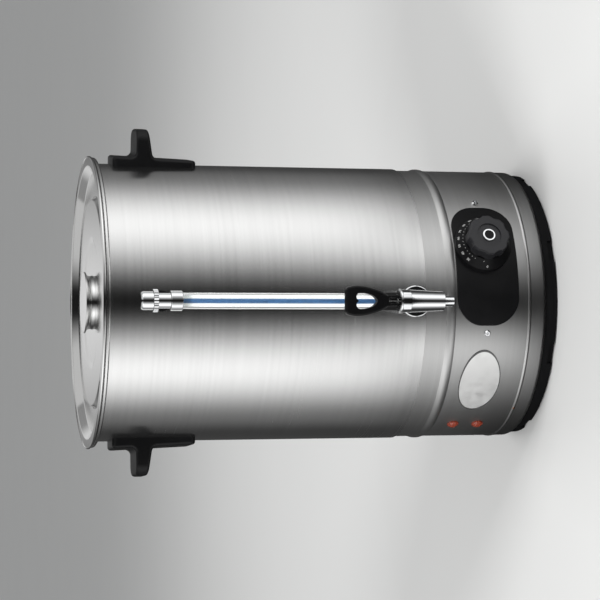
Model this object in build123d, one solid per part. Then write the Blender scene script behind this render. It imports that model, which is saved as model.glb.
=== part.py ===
"""Hot water urn: a steel tank on a skirted base, with a draw-off tap, a sight gauge and a thermostat.

Millimetres, +Z up. The origin is the centre of the rubber foot ring, on the table.
The tap and the gauge face -Y; an azimuth is counted from there towards +X.
"""
import os
from math import asin, cos, degrees, radians, sin, sqrt

from build123d import *

# ---------------------------------------------------------------- driving dimensions
sheet = 1.0                     # steel sheet of the tank, the lid and the base skirt
running_gap = 0.05              # radial play of a part that turns or slides in its bore
loose_gap = 0.3                 # play of a part that is only dropped or bolted in place
over = 1.0                      # a cutting shape runs this far past the face it cuts
far_over = 20.0                 # the same, where it crosses a curved wall or a corner
half_turn = 180.0
full_turn = 360.0

# base
foot_proud = 2.0                # rubber foot ring below the tray
foot_depth = 2.0                # of the foot ring sunk in its groove
foot_ring_margin = 14.0         # tray's side to the middle of the foot ring
foot_ring_width = 10.0
tray_height = 12.0              # visible plastic below the steel skirt
tray_step = 3.4                 # tray's side behind the steel skirt's
tray_wall = 3.0
tray_spigot_height = 9.0        # collar of the tray that stands up inside the skirt
tray_notch_count = 8            # ventilation notches in the tray's outside
tray_notch_width = 22.0
tray_notch_depth = 2.5
tray_notch_height = 5.0
tray_vent_count = 12            # round vents in the tray's floor
tray_vent_radius = 4.0
tray_vent_circle = 80.0

# steel skirt of the base
skirt_step = 1.6                # skirt's side behind the tank's
skirt_height = 133.5            # foot of the skirt to the seam under the tank
skirt_corner = 4.0              # rolled corner at the skirt's foot
skirt_flange_width = 9.0        # turned-in flange beyond the corner
upper_bead_drop = 28.0          # seam to the middle of the polished bead
upper_bead_height = 11.0
upper_bead_proud = 1.8
lower_bead_rise = 19.0          # skirt's foot to the middle of the lower bead
lower_bead_height = 3.6
lower_bead_proud = 0.9

# tank
tank_radius = 150.0
tank_height = 335.5             # seam to the top of the rolled rim
tank_skirt_depth = 6.0          # tank wall that hangs below the tank's floor
rim_overhang = 6.5              # rolled rim beyond the wall
rim_tube_radius = 2.4

# lid
lid_overhang = 1.5              # lid's edge beyond the tank's rim
lid_hem_radius = 1.5            # rolled hem of the lid's edge
lid_seat_play = 1.4             # tank's inside to the inner edge of the ring on its rim
lid_well_depth = 9.0            # ring down to the groove round the raised disc
lid_wall_run = 7.0              # radial run of the sloping wall below the ring
lid_groove_run = 3.5            # radial run from the groove up to the raised disc
lid_channel_width = 36.6        # raised disc to the inner edge of the ring
lid_disc_drop = 4.6             # ring down to the raised disc
lid_dish_margin = 40.0          # dish to the edge of the raised disc
lid_dish_depth = 1.2
lid_dish_run = 6.0              # radial run of the slope into the dish
lid_groove_rise = 1.5           # the groove's floor climbs this much to the sloping wall
lid_knob_radius = 33.0          # flared top
lid_knob_neck_radius = 28.6
lid_knob_foot_radius = 29.6
lid_knob_height = 10.5
lid_knob_lip = 1.6
lid_knob_neck_rise = 3.7        # knob's foot to the narrowest part of its neck
lid_knob_neck_height = 2.6      # of the straight part of the neck
lid_knob_flare = 0.6            # the neck's widening over that height
lid_knob_post_wall = 2.5        # of the threaded post inside the knob
lid_screw_radius = 2.5
lid_screw_head_radius = 4.5
lid_screw_head_height = 2.5
lid_screw_play = 0.2            # radial, in the lid's hole
lid_washer_radius = 9.0
lid_washer_thickness = 1.5

# control plate, on the front of the skirt
panel_place = 42.8              # round the skirt, from the tap's side to the plate's middle
panel_width = 131.5             # straight across
panel_height = 67.5
panel_corner = 28.0
panel_thickness = 1.5
panel_rise = 65.3               # skirt's foot to the plate's centre
panel_screw_margin = 7.2        # plate's edge to the screw
panel_screw_head_radius = 3.6
panel_screw_head_height = 2.0
panel_screw_head_round = 1.4
panel_screw_radius = 2.0
bracket_height = 26.0           # steel strap behind the plate
bracket_thickness = 1.5
bracket_margin = 7.0            # strap beyond the screws
panel_screw_tip = 4.0           # screw beyond the strap

# thermostat
dial_place = 60.8               # round the skirt, from the tap's side
dial_rise = 68.5                # skirt's foot to the knob's axis
dial_radius = 30.5
dial_top_radius = 22.8
dial_standoff = 4.6             # plate to the edge where the dial's bevel starts
dial_bevel_height = 9.0
knob_radius = 22.6
knob_height = 12.5
knob_gap = 0.5                  # dial to knob
knob_lobes = 8
knob_scallop_radius = 13.0
knob_scallop_depth = 1.5
knob_dish_radius = 13.0
knob_dish_depth = 1.6
knob_edge = 1.6
knob_bore_depth = 8.5
knob_cap_radius = 6.9
knob_cap_height = 1.8
shaft_radius = 3.0
shaft_flat = 0.7                # cut off the shaft's side for the knob
bush_radius = 5.0
bush_nut_radius = 8.0
bush_nut_height = 2.5
bush_proud = 1.0                # bush beyond its nut
bush_recess_gap = 1.0           # round the bush and its nut, inside the dial
thermostat_width = 36.0
thermostat_height = 34.0
thermostat_depth = 24.0
shaft_sunk = 6.0                # of the shaft inside the thermostat
bulb_radius = 3.0
bulb_length = 66.0
bulb_margin = 17.4              # skirt's inside to the bulb's axis
capillary_radius = 1.0
capillary_reach = 12.0          # bulb's end to the capillary's bend
capillary_bend = 6.0
clip_width = 8.0
clip_thickness = 0.8

# pilot lamps
lamp_place = -162.14            # round the skirt, from the tap's side
lamp_rises = (79.3, 51.7)       # skirt's foot to each lamp
lamp_lens_radius = 6.3
lamp_lens_height = 3.6
lamp_lens_rim = 1.2
lamp_body_radius = 4.9
lamp_body_length = 24.0

# blank badge
badge_place = -91.43            # round the skirt, from the tap's side
badge_width = 79.0              # straight across
badge_height = 45.0
badge_thickness = 0.8
badge_rise = 66.5

# side handles
handle_azimuth = 83.5           # from the tap's side to the handle's middle
handle_width = 51.0
handle_plate_height = 89.5
handle_plate_corner = 6.0
handle_plate_top_thickness = 9.2
handle_plate_foot_thickness = 5.6
handle_drop = 21.0              # rim's top to the plate's upper end
handle_round = 3.4
grip_rise = 64.5                # plate's lower end to the grip's upper face
grip_root_thickness = 18.0
grip_end_thickness = 13.0
grip_reach = 38.0
grip_corner = 12.0
grip_root_round = 6.0           # hollow corner between the grip and the plate
handle_screw_radius = 2.5
handle_screw_head_radius = 4.6
handle_screw_head_height = 3.2
handle_screw_foot_margin = 20.0 # plate's lower end to the lower screw
handle_screw_top_margin = 12.0  # plate's upper end to the upper screw
handle_screw_sink = 1.0         # screw's head below the plate's face
handle_nut_radius = 5.0
handle_nut_height = 5.0
handle_nut_crown = 0.8          # closed end of the cap nut
handle_washer_radius = 7.0
handle_washer_thickness = 1.2

# sight gauge
gauge_standoff = 20.0           # tank wall to the glass's centre
gauge_stud_drop = 56.0          # rim's top to the upper stud
glass_radius = 7.9
glass_wall = 1.8
stripe_width = 6.6
stripe_thickness = 0.3
spigot_radius = 7.75            # end of a fitting that enters a nut
spigot_length = 4.0
seal_height = 3.0
upper_nut_radius = 10.6
upper_nut_length = 12.2
upper_nut_chamfer = 1.0
upper_neck_length = 12.6        # upper nut to the knurled collar
collar_radius = 11.7
collar_length = 5.0
cap_radius = 9.45
cap_length = 12.6
cap_spigot_radius = 6.0
cap_wall = 2.4
cap_round = 3.3                 # of the cap's top edge
cap_spigot_gap = 1.0            # end of the spigot to the cap's inside
vent_radius = 3.0
stud_radius = 6.0
stud_flange_radius = 10.5
stud_flange_thickness = 3.0
gasket_thickness = 1.5
stud_reach_in = 10.0            # stud beyond the tank wall's inside
stud_nut_radius = 10.0
stud_nut_height = 5.0
lower_nut_radius = 9.75
lower_nut_length = 23.9
lower_nut_gap = 0.5             # lower nut above the tap's shank

# tap
tap_standoff = 47.0             # tank wall to the tap's axis
tap_rise = 21.1                 # seam to the shank's axis
shank_radius = 9.0
shank_bore = 4.5
shank_reach_in = 14.0
shank_nut_radius = 14.0
shank_nut_height = 6.0
shank_flange_radius = 13.5
shank_flange_thickness = 3.0
branch_bore = 3.0
rosette_radius = 16.3           # round shoulder between the tap's body and the gauge's lower nut
tap_top_radius = 11.7
tap_foot_radius = 9.9
tap_above_shank = 11.2          # shank's axis to the tap body's top
tap_below_shank = 24.3          # shank's axis to the tap body's foot
tap_chamber_radius = 8.0
tap_seat_rise = 8.0             # tap body's foot to the seat
nozzle_radius = 5.6
nozzle_length = 10.7
nozzle_bore = 4.0
bonnet_radius = 12.4
bonnet_height = 9.5
bonnet_flange_height = 2.0
bonnet_lip = 1.6
bonnet_wall = 1.0               # bonnet's shoulder to the face that the spring pushes on
stem_radius = 2.2
stem_length_above = 11.1        # bonnet's top to the lever's pin
stem_head_radius = 2.9          # ball on the stem's end, drilled for the pin
stem_head_clearance = 0.3
cup_radius = 6.8
cup_height = 6.0
cup_plate_radius = 7.2
cup_plate_thickness = 1.2
spring_radius = 5.2
spring_wire = 0.9
spring_turns = 6
lever_width = 30.8
lever_height = 44.4             # pin to the lever's top
lever_top_width = 26.4
lever_shoulder_drop = 11.5      # lever's top to its widest point
lever_corner = 4.0
lever_flank_half_width = 12.0   # half width where the shield narrows to its foot
lever_flank_rise = 13.8         # pin to that place
lever_foot_width = 9.8
lever_thickness = 9.5
lever_round = 2.4
lever_cheek = 1.0               # least thickness of the foot's cheeks beside the stem's end
lever_window_width = 16.4
lever_window_height = 22.4
lever_window_drop = 10.6        # lever's top to the window
lever_window_notch = 3.2        # depth of the point between the window's two lobes
lever_lobe_middle = 4.3         # half the distance between the tops of the two lobes
lever_foot_gap = 0.4
lever_toe = 6.5                 # foot ahead of the pin
lever_heel_radius = 2.0         # pin to the foot's top inside the shield
pin_radius = 1.4

# heater and wiring parts, under the tank's floor
plate_radius = 92.0
plate_thickness = 6.0
element_ring_radius = 68.0
element_tube_radius = 4.0
element_span = 325.0
element_leg_length = 14.0
element_seat_gap = 0.05
stud_thread_radius = 4.0
stud_thread_length = 16.0
stud_hex_radius = 7.0
stud_hex_height = 6.0
cutout_radius = 8.5
cutout_height = 9.0
cutout_offset = 35.0
cutout_pin_length = 7.0
cutout_pin_width = 6.0
cutout_pin_thickness = 1.0
tie_count = 3
tie_first_azimuth = 90.0
tie_boss_margin = 2.5           # boss to the foot ring's groove
tie_radius = 5.0
tie_thread_radius = 3.4
tie_boss_radius = 8.5
tie_boss_height = 10.0
shield_rise = 103.0             # skirt's foot to the heat shield
shield_margin = 20.9            # skirt's inside to the shield's edge
shield_nut_radius = 6.5
shield_nut_height = 5.0
base_screw_radius = 2.0
base_screw_head_radius = 4.2
base_screw_head_height = 2.6
base_screw_length = 20.0
terminal_width = 52.0
terminal_depth = 22.0
terminal_height = 18.0
terminal_offset = 78.0
terminal_ways = 4
terminal_well_radius = 3.6      # well over each clamp screw
terminal_well_depth = 6.0
terminal_wire_radius = 2.6      # hole for each wire
terminal_wire_rise = 6.0
earth_stud_radius = 2.5
earth_stud_length = 16.0
earth_stud_end = 2.0            # stud beyond its nut
earth_stud_circle = 112.0
earth_stud_azimuth = 150.0
earth_nut_radius = 4.6
earth_nut_height = 4.0

# mains inlet, at the back
inlet_azimuth = 180.0
inlet_rise = 45.0
inlet_width = 30.0
inlet_height = 23.0
inlet_corner = 4.0
inlet_wall = 2.2
inlet_depth = 26.0
inlet_floor = 6.0
inlet_cavity_corner = 1.5
inlet_flange_margin = 5.0
inlet_flange_side = 12.0        # flange beyond the body, each side, for the screws
inlet_flange_thickness = 3.0
blade_width = 2.0
blade_height = 8.0
blade_reach = 10.0              # blade ahead of the socket's floor
blade_tail = 1.0                # blade behind the body
blade_pitch = 7.0
inlet_screw_radius = 1.7
inlet_screw_head_radius = 3.2
inlet_screw_head_height = 1.8
inlet_screw_length = 9.0

# ---------------------------------------------------------------- derived levels and radii
tank_inside = tank_radius - sheet
skirt_radius = tank_radius - skirt_step
skirt_inside = skirt_radius - sheet
tray_radius = skirt_radius - tray_step
foot_ring_radius = tray_radius - foot_ring_margin
lid_rim_radius = tank_radius + rim_overhang + lid_overhang
lid_seat_inner_radius = tank_inside - lid_seat_play
lid_disc_radius = lid_seat_inner_radius - lid_channel_width
lid_groove_radius = lid_disc_radius + lid_groove_run
lid_dish_radius = lid_disc_radius - lid_dish_margin
bulb_ring_radius = skirt_inside - bulb_margin
shield_radius = skirt_inside - shield_margin
panel_azimuth = degrees(panel_place / skirt_radius)
dial_azimuth = degrees(dial_place / skirt_radius)
lamp_azimuth = degrees(lamp_place / skirt_radius)
badge_azimuth = degrees(badge_place / skirt_radius)
tray_bottom = foot_proud
foot_inner = foot_ring_radius - foot_ring_width / 2
foot_outer = foot_ring_radius + foot_ring_width / 2
tie_circle = foot_inner - tie_boss_margin - tie_boss_radius
skirt_foot = tray_bottom + tray_height
seam = skirt_foot + skirt_height
tank_floor_under = seam + tank_skirt_depth
tank_floor_top = tank_floor_under + sheet
rim_top = seam + tank_height
rim_tube_ring = tank_radius + rim_overhang - rim_tube_radius
plate_face = skirt_radius + panel_thickness
lid_seat = rim_top
lid_disc_top = lid_seat + sheet - lid_disc_drop
lid_dish_top = lid_disc_top - lid_dish_depth
lid_under = lid_dish_top - sheet
gauge_y = -(tank_radius + gauge_standoff)
gauge_stud_z = rim_top - gauge_stud_drop
tap_y = -(tank_radius + tap_standoff)
tap_z = seam + tap_rise
tap_top = tap_z + tap_above_shank
tap_foot = tap_z - tap_below_shank
tap_seat = tap_foot + tap_seat_rise
bonnet_top = tap_top + bonnet_height + bonnet_flange_height
pin_z = bonnet_top + stem_length_above
panel_z = skirt_foot + panel_rise
dial_z = skirt_foot + dial_rise
handle_top = rim_top - handle_drop
handle_foot = handle_top - handle_plate_height
grip_top = handle_foot + grip_rise


# ---------------------------------------------------------------- helpers
def post(radius, low, high, x=0.0, y=0.0):
    """Upright cylinder from one level to another."""
    return Pos(x, y, low) * Cylinder(radius, high - low, align=(Align.CENTER, Align.CENTER, Align.MIN))


def ring(outer, inner, low, high, x=0.0, y=0.0):
    """Upright tube."""
    return post(outer, low, high, x, y) - post(inner, low - over, high + over, x, y)


def bar(radius, start, end, x=0.0, z=0.0):
    """Cylinder along Y, between two values of y."""
    low, high = min(start, end), max(start, end)
    lying = Rot(-90, 0, 0) * Cylinder(radius, high - low, align=(Align.CENTER, Align.CENTER, Align.MIN))
    return Pos(x, low, z) * lying


def hexagon(corner_radius, low, high, x=0.0, y=0.0):
    """Upright six-sided prism."""
    prism = extrude(RegularPolygon(corner_radius, 6), amount=high - low)
    return Pos(x, y, low) * prism


def hexagon_bar(corner_radius, start, end, x=0.0, z=0.0):
    """Six-sided prism along Y."""
    low, high = min(start, end), max(start, end)
    lying = Rot(-90, 0, 0) * extrude(RegularPolygon(corner_radius, 6), amount=high - low)
    return Pos(x, low, z) * lying


def turned(outline):
    """Body of revolution about Z from (radius, level) points."""
    points = [(r, 0, z) for r, z in outline]
    face = make_face(Polyline(*points, close=True).edges())
    return revolve(face, Axis.Z)


def slab_y(sketch, start, end, x=0.0, z=0.0):
    """A sketch drawn in X and Z, made solid between two values of y."""
    low, high = min(start, end), max(start, end)
    return Pos(x, high, z) * extrude(Plane.XZ * sketch, amount=high - low)


def within(shape, radius):
    """What of a shape lies inside an upright cylinder on the urn's axis."""
    return shape & post(radius, -far_over, rim_top + far_over)


def beyond(shape, radius):
    """What of a shape lies outside an upright cylinder on the urn's axis."""
    return shape - post(radius, -far_over, rim_top + far_over)


def swing(shape, azimuth):
    """Carry a shape from the front to another azimuth."""
    return Rot(0, 0, azimuth) * shape


def chord_azimuth(half_width, radius):
    """Azimuth at which a cylinder is half_width away from its middle plane."""
    return degrees(asin(half_width / radius))


def solids_of(shapes):
    """One group of separate solids."""
    return Compound(children=[solid for shape in shapes for solid in shape.solids()])


nodes = {}


def keep(name, *shapes):
    """Enter a sub-part, one solid or a group of separate like solids."""
    nodes[name] = shapes[0] if len(shapes) == 1 else solids_of(shapes)


# ---------------------------------------------------------------- places that several parts share
tie_azimuths = [tie_first_azimuth + i * full_turn / tie_count for i in range(tie_count)]
screw_azimuth = chord_azimuth(panel_width / 2 + panel_screw_margin, skirt_radius)
panel_screw_azimuths = [panel_azimuth - screw_azimuth, panel_azimuth + screw_azimuth]
lamp_levels = [skirt_foot + rise for rise in lamp_rises]
inlet_z = skirt_foot + inlet_rise
inlet_flange_width = inlet_width + 2 * inlet_flange_side
inlet_screw_x = inlet_width / 2 + inlet_flange_side / 2
shield_z = skirt_foot + shield_rise
tray_floor_top = tray_bottom + tray_wall
flange_inner = skirt_radius - skirt_corner - skirt_flange_width
handle_screw_levels = [handle_foot + handle_screw_foot_margin, handle_top - handle_screw_top_margin]
boss_top = tray_floor_top + tie_boss_height
base_screw_seat = tray_bottom + base_screw_head_height + loose_gap
inside_clear = tank_inside - far_over           # a hole cut from outside ends here, clear of the wall


def tie_places(shape):
    """Copies of a part at each tie rod; the part is drawn at the front."""
    return [swing(shape, azimuth) for azimuth in tie_azimuths]


# ---------------------------------------------------------------- base tray and foot ring
def base_tray():
    """Black plastic tray that closes the base from below."""
    tray = post(tray_radius, tray_bottom, skirt_foot)
    tray += post(flange_inner - loose_gap, skirt_foot, skirt_foot + tray_spigot_height)
    tray -= post(flange_inner - loose_gap - tray_wall, tray_floor_top, skirt_foot + tray_spigot_height + over)
    boss = post(tie_boss_radius, tray_bottom, boss_top, 0, -tie_circle)
    tray += Compound(children=tie_places(boss))
    tray -= ring(foot_outer, foot_inner, tray_bottom - over, tray_bottom + foot_depth)
    counterbore = post(base_screw_head_radius + loose_gap, tray_bottom - over, base_screw_seat,
                       0, -tie_circle)
    hole = post(base_screw_radius + loose_gap, tray_bottom - over, boss_top + over, 0, -tie_circle)
    for cut in tie_places(counterbore) + tie_places(hole):
        tray -= cut
    notch = Pos(0, -tray_radius, tray_bottom + tray_notch_height / 2) * Box(
        tray_notch_width, 2 * tray_notch_depth, tray_notch_height)
    for i in range(tray_notch_count):
        tray -= swing(notch, (i + 0.5) * full_turn / tray_notch_count)
    vent = post(tray_vent_radius, tray_bottom - over, tray_floor_top + over, 0, -tray_vent_circle)
    for i in range(tray_vent_count):
        tray -= swing(vent, (i + 0.5) * full_turn / tray_vent_count)
    return tray


keep("base_tray", base_tray())
keep("foot_ring", ring(foot_outer, foot_inner, 0, tray_bottom + foot_depth))


# ---------------------------------------------------------------- steel skirt with its two beads
def bead(ring_radius, middle, height, proud):
    """Swelling round the skirt: a circular segment turned about the axis, rooted in the sheet."""
    root = ring_radius - sheet / 2
    low, high = (root, 0, middle - height / 2), (root, 0, middle + height / 2)
    start, end = (ring_radius, 0, low[2]), (ring_radius, 0, high[2])
    crown = (ring_radius + proud, 0, middle)
    edges = [Line(low, start), ThreePointArc(start, crown, end), Line(end, high), Line(high, low)]
    return revolve(make_face(edges), Axis.Z)


def skirt():
    """Brushed steel skirt: rolled corner and flange at the foot, two beads, openings for the controls."""
    foot, top = skirt_foot, tank_floor_under
    outer_corner, inner_corner = skirt_corner, skirt_corner - sheet
    corner_r = skirt_radius - skirt_corner
    centre_z = foot + skirt_corner
    slope = sqrt(0.5)
    edges = [
        Line((flange_inner, 0, foot), (corner_r, 0, foot)),
        ThreePointArc((corner_r, 0, foot),
                      (corner_r + outer_corner * slope, 0, centre_z - outer_corner * slope),
                      (skirt_radius, 0, centre_z)),
        Line((skirt_radius, 0, centre_z), (skirt_radius, 0, top)),
        Line((skirt_radius, 0, top), (skirt_inside, 0, top)),
        Line((skirt_inside, 0, top), (skirt_inside, 0, centre_z)),
        ThreePointArc((skirt_inside, 0, centre_z),
                      (corner_r + inner_corner * slope, 0, centre_z - inner_corner * slope),
                      (corner_r, 0, foot + sheet)),
        Line((corner_r, 0, foot + sheet), (flange_inner, 0, foot + sheet)),
        Line((flange_inner, 0, foot + sheet), (flange_inner, 0, foot)),
    ]
    shell = revolve(make_face(edges), Axis.Z)
    shell += bead(skirt_radius, seam - upper_bead_drop, upper_bead_height, upper_bead_proud)
    shell += bead(skirt_radius, skirt_foot + lower_bead_rise, lower_bead_height, lower_bead_proud)
    through = -(skirt_radius + far_over)
    back = -(skirt_inside - far_over)
    shell -= swing(bar(bush_radius + loose_gap, through, back, 0, dial_z), dial_azimuth)
    for azimuth in panel_screw_azimuths:
        shell -= swing(bar(panel_screw_radius + running_gap, through, back, 0, panel_z), azimuth)
    for level in lamp_levels:
        shell -= swing(bar(lamp_body_radius + running_gap, through, back, 0, level), lamp_azimuth)
    mouth = RectangleRounded(inlet_width + 2 * loose_gap, inlet_height + 2 * loose_gap, inlet_corner)
    shell -= swing(slab_y(mouth, through, back, 0, inlet_z), inlet_azimuth)
    for side in (-1, 1):
        hole = bar(inlet_screw_radius + running_gap, through, back, side * inlet_screw_x, inlet_z)
        shell -= swing(hole, inlet_azimuth)
    return shell


keep("base_skirt", skirt())


# ---------------------------------------------------------------- tank
def tank():
    """Tank wall: a rolled and welded cylinder with a hanging edge below the floor and a rolled rim."""
    wall = ring(tank_radius, tank_inside, seam, rim_top - rim_tube_radius)
    flange = ring(rim_tube_ring, tank_inside, rim_top - sheet, rim_top)
    neck = ring(tank_radius, tank_inside, rim_top - rim_tube_radius - over, rim_top)
    rolled = Pos(0, 0, rim_top - rim_tube_radius) * Torus(rim_tube_ring, rim_tube_radius)
    body = wall + neck + flange + rolled
    body -= bar(stud_radius + running_gap, gauge_y, -inside_clear, 0, gauge_stud_z)
    body -= bar(shank_radius + running_gap, tap_y, -inside_clear, 0, tap_z)
    for azimuth in (-handle_azimuth, handle_azimuth):
        for level in handle_screw_levels:
            hole = bar(handle_screw_radius + running_gap, -tank_radius - over, -inside_clear, 0, level)
            body -= swing(hole, azimuth)
    return body


def tank_floor():
    """Floor disc welded into the wall, with the heater stud and the earth stud welded beneath it."""
    floor = post(tank_inside - running_gap, tank_floor_under, tank_floor_top)
    floor += post(stud_thread_radius, tank_floor_under - stud_thread_length, tank_floor_under + sheet / 2)
    earth = post(earth_stud_radius, tank_floor_under - earth_stud_length, tank_floor_under + sheet / 2,
                 0, -earth_stud_circle)
    return floor + swing(earth, earth_stud_azimuth)


keep("tank", tank())
keep("tank_floor", tank_floor())


# ---------------------------------------------------------------- lid
def lid_pan():
    """Pressed lid: hem, flat ring, sloping wall, groove, raised disc and a shallow dish."""
    top = lid_seat + sheet
    upper = [
        (0, lid_dish_top),
        (lid_dish_radius - lid_dish_run, lid_dish_top),
        (lid_dish_radius, lid_disc_top),
        (lid_disc_radius, lid_disc_top),
        (lid_groove_radius, top - lid_well_depth),
        (lid_seat_inner_radius - lid_wall_run, top - lid_well_depth + lid_groove_rise),
        (lid_seat_inner_radius, top),
        (lid_rim_radius - lid_hem_radius, top),
    ]
    lower = [(r, z - sheet) for r, z in reversed(upper)]
    pan = turned(upper + lower)
    pan += Pos(0, 0, lid_seat + lid_hem_radius) * Torus(lid_rim_radius - lid_hem_radius, lid_hem_radius)
    return pan - post(lid_screw_radius + lid_screw_play, lid_disc_top - far_over, lid_disc_top + far_over)


def lid_knob():
    """Hollow spun knob: foot ring, concave neck, flared top, and a threaded post down its middle."""
    seat = lid_dish_top
    top = seat + lid_knob_height
    neck = seat + lid_knob_neck_rise
    wall = [
        (lid_knob_foot_radius, seat),
        (lid_knob_neck_radius, neck),
        (lid_knob_neck_radius + lid_knob_flare, neck + lid_knob_neck_height),
        (lid_knob_radius, top - lid_knob_lip),
        (lid_knob_radius, top),
        (0, top),
        (0, top - lid_knob_lip),
        (lid_knob_neck_radius - sheet, top - lid_knob_lip - sheet),
        (lid_knob_neck_radius - sheet, neck),
        (lid_knob_foot_radius - sheet, seat),
    ]
    knob = turned(wall)
    knob += post(lid_screw_radius + lid_knob_post_wall, seat, top - lid_knob_lip / 2)
    return knob - post(lid_screw_radius + running_gap, seat - over, top - lid_knob_lip)


keep("lid_pan", lid_pan())
keep("lid_knob", lid_knob())
lid_washer_under = lid_under - lid_washer_thickness
keep("lid_knob_washer", ring(lid_washer_radius, lid_screw_radius + running_gap, lid_washer_under, lid_under))
lid_screw_tip = lid_dish_top + lid_knob_height - lid_knob_lip - loose_gap
lid_screw = post(lid_screw_radius, lid_washer_under, lid_screw_tip)
lid_screw += post(lid_screw_head_radius, lid_washer_under - lid_screw_head_height, lid_washer_under)
keep("lid_knob_screw", lid_screw)


# ---------------------------------------------------------------- side handles
def handle_face(level):
    """Where the plate's sloping outer face lies at a level, at the front."""
    share = (level - handle_foot) / handle_plate_height
    thickness = handle_plate_foot_thickness
    thickness += (handle_plate_top_thickness - handle_plate_foot_thickness) * share
    return -(tank_radius + thickness)


def handle():
    """Black handle, drawn at the front: a tapered plate on the wall and a grip, as wide as each other."""
    end_y = -(tank_radius + grip_reach)
    root_low = grip_top - grip_root_thickness
    upper_root = (0, handle_face(grip_top), grip_top)
    lower_root = (0, handle_face(root_low), root_low)
    outline = [
        (0, -inside_clear, handle_top),
        (0, handle_face(handle_top), handle_top),
        upper_root,
        (0, end_y, grip_top),
        (0, end_y, grip_top - grip_end_thickness),
        lower_root,
        (0, handle_face(handle_foot), handle_foot),
        (0, -inside_clear, handle_foot),
    ]
    side = make_face(Polyline(*outline, close=True).edges())
    roots = (Vector(*upper_root), Vector(*lower_root))
    side = fillet([vertex for vertex in side.vertices() if vertex.center() in roots], grip_root_round)
    body = extrude(side, amount=handle_width / 2, dir=(1, 0, 0), both=True)
    tip = body.faces().sort_by(Axis.Y)[0]
    body = fillet(tip.edges().filter_by(Axis.Z), grip_corner)
    plate_ends = [body.faces().sort_by(Axis.Z)[0], body.faces().sort_by(Axis.Z)[-1]]
    body = fillet([edge for end in plate_ends for edge in end.edges().filter_by(Axis.Y)], handle_plate_corner)
    rims = ShapeList(edge for face in body.faces().filter_by(Axis.X) for edge in face.edges())
    rims = rims.filter_by_position(Axis.Y, end_y + grip_corner + over, -tank_radius)
    rims = rims.filter_by_position(Axis.Z, handle_foot + handle_plate_corner + over,
                                   handle_top - handle_plate_corner - over)
    body = beyond(fillet(rims, handle_round), tank_radius)
    for level in handle_screw_levels:
        outside = handle_face(level) - far_over
        head_floor = handle_face(level) + handle_screw_sink + handle_screw_head_height
        body -= bar(handle_screw_head_radius + loose_gap, outside, head_floor, 0, level)
        body -= bar(handle_screw_radius + running_gap, outside, -inside_clear, 0, level)
    return body


front_handle = handle()
keep("handle_right", swing(front_handle, handle_azimuth))
keep("handle_left", swing(front_handle, -handle_azimuth))


def handle_fastenings():
    """Screws, sealing washers and cap nuts of both handles."""
    screws, washers, nuts = [], [], []
    washer_back = -(tank_inside - handle_washer_thickness)
    nut_back = washer_back + handle_nut_height
    for azimuth in (-handle_azimuth, handle_azimuth):
        for level in handle_screw_levels:
            head_face = handle_face(level) + handle_screw_sink
            under_head = head_face + handle_screw_head_height
            screw = bar(handle_screw_radius, under_head, nut_back - handle_nut_crown - loose_gap, 0, level)
            screw += bar(handle_screw_head_radius, head_face, under_head, 0, level)
            washer = within(bar(handle_washer_radius, -tank_radius, washer_back, 0, level), tank_inside)
            washer -= bar(handle_screw_radius + running_gap, -tank_radius, washer_back + over, 0, level)
            nut = hexagon_bar(handle_nut_radius, washer_back, nut_back, 0, level)
            thread_end = nut_back - handle_nut_crown
            nut -= bar(handle_screw_radius + running_gap, washer_back - over, thread_end, 0, level)
            screws.append(swing(screw, azimuth))
            washers.append(swing(washer, azimuth))
            nuts.append(swing(nut, azimuth))
    keep("handle_screws", *screws)
    keep("handle_washers", *washers)
    keep("handle_nuts", *nuts)


handle_fastenings()

# ---------------------------------------------------------------- draw-off tap
shank_top = tap_z + shank_radius
lower_nut_foot = shank_top + lower_nut_gap
lower_nut_top = lower_nut_foot + lower_nut_length
lower_spigot_top = lower_nut_foot + spigot_length
glass_foot = lower_spigot_top + seal_height
bonnet_inner_face = tap_top + bonnet_height - bonnet_wall
cup_plate_top = tap_seat + cup_height + cup_plate_thickness
rosette_front = tap_y + bonnet_radius + loose_gap
rosette_back = gauge_y - lower_nut_radius - loose_gap


def tap_body():
    """Plated brass tap: tapered upright body, round shoulder, shank through the tank wall, gauge branch."""
    upright = Pos(0, tap_y, tap_foot) * Cone(
        tap_foot_radius, tap_top_radius, tap_top - tap_foot, align=(Align.CENTER, Align.CENTER, Align.MIN))
    shoulder = bar(rosette_radius, rosette_front, rosette_back, 0, tap_z)
    shoulder = fillet(shoulder.edges().filter_by(GeomType.CIRCLE), (rosette_back - rosette_front) / 3)
    shank_end = -(tank_inside - shank_reach_in)
    shank = bar(shank_radius, tap_y, shank_end, 0, tap_z)
    branch = post(spigot_radius, tap_z, lower_spigot_top, 0, gauge_y)
    seat_flange_y = -(tank_radius + gasket_thickness)
    flange = bar(shank_flange_radius, seat_flange_y - shank_flange_thickness, seat_flange_y, 0, tap_z)
    body = upright + shoulder + shank + branch + flange
    body -= post(tap_chamber_radius, tap_seat, tap_top + over, 0, tap_y)
    body -= post(nozzle_bore, tap_foot - over, tap_seat + over, 0, tap_y)
    body -= bar(shank_bore, tap_y, shank_end + over, 0, tap_z)
    body -= post(branch_bore, tap_z, lower_spigot_top + over, 0, gauge_y)
    return body


keep("tap_body", tap_body())
keep("tap_nozzle", ring(nozzle_radius, nozzle_bore, tap_foot - nozzle_length, tap_foot, 0, tap_y))


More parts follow.
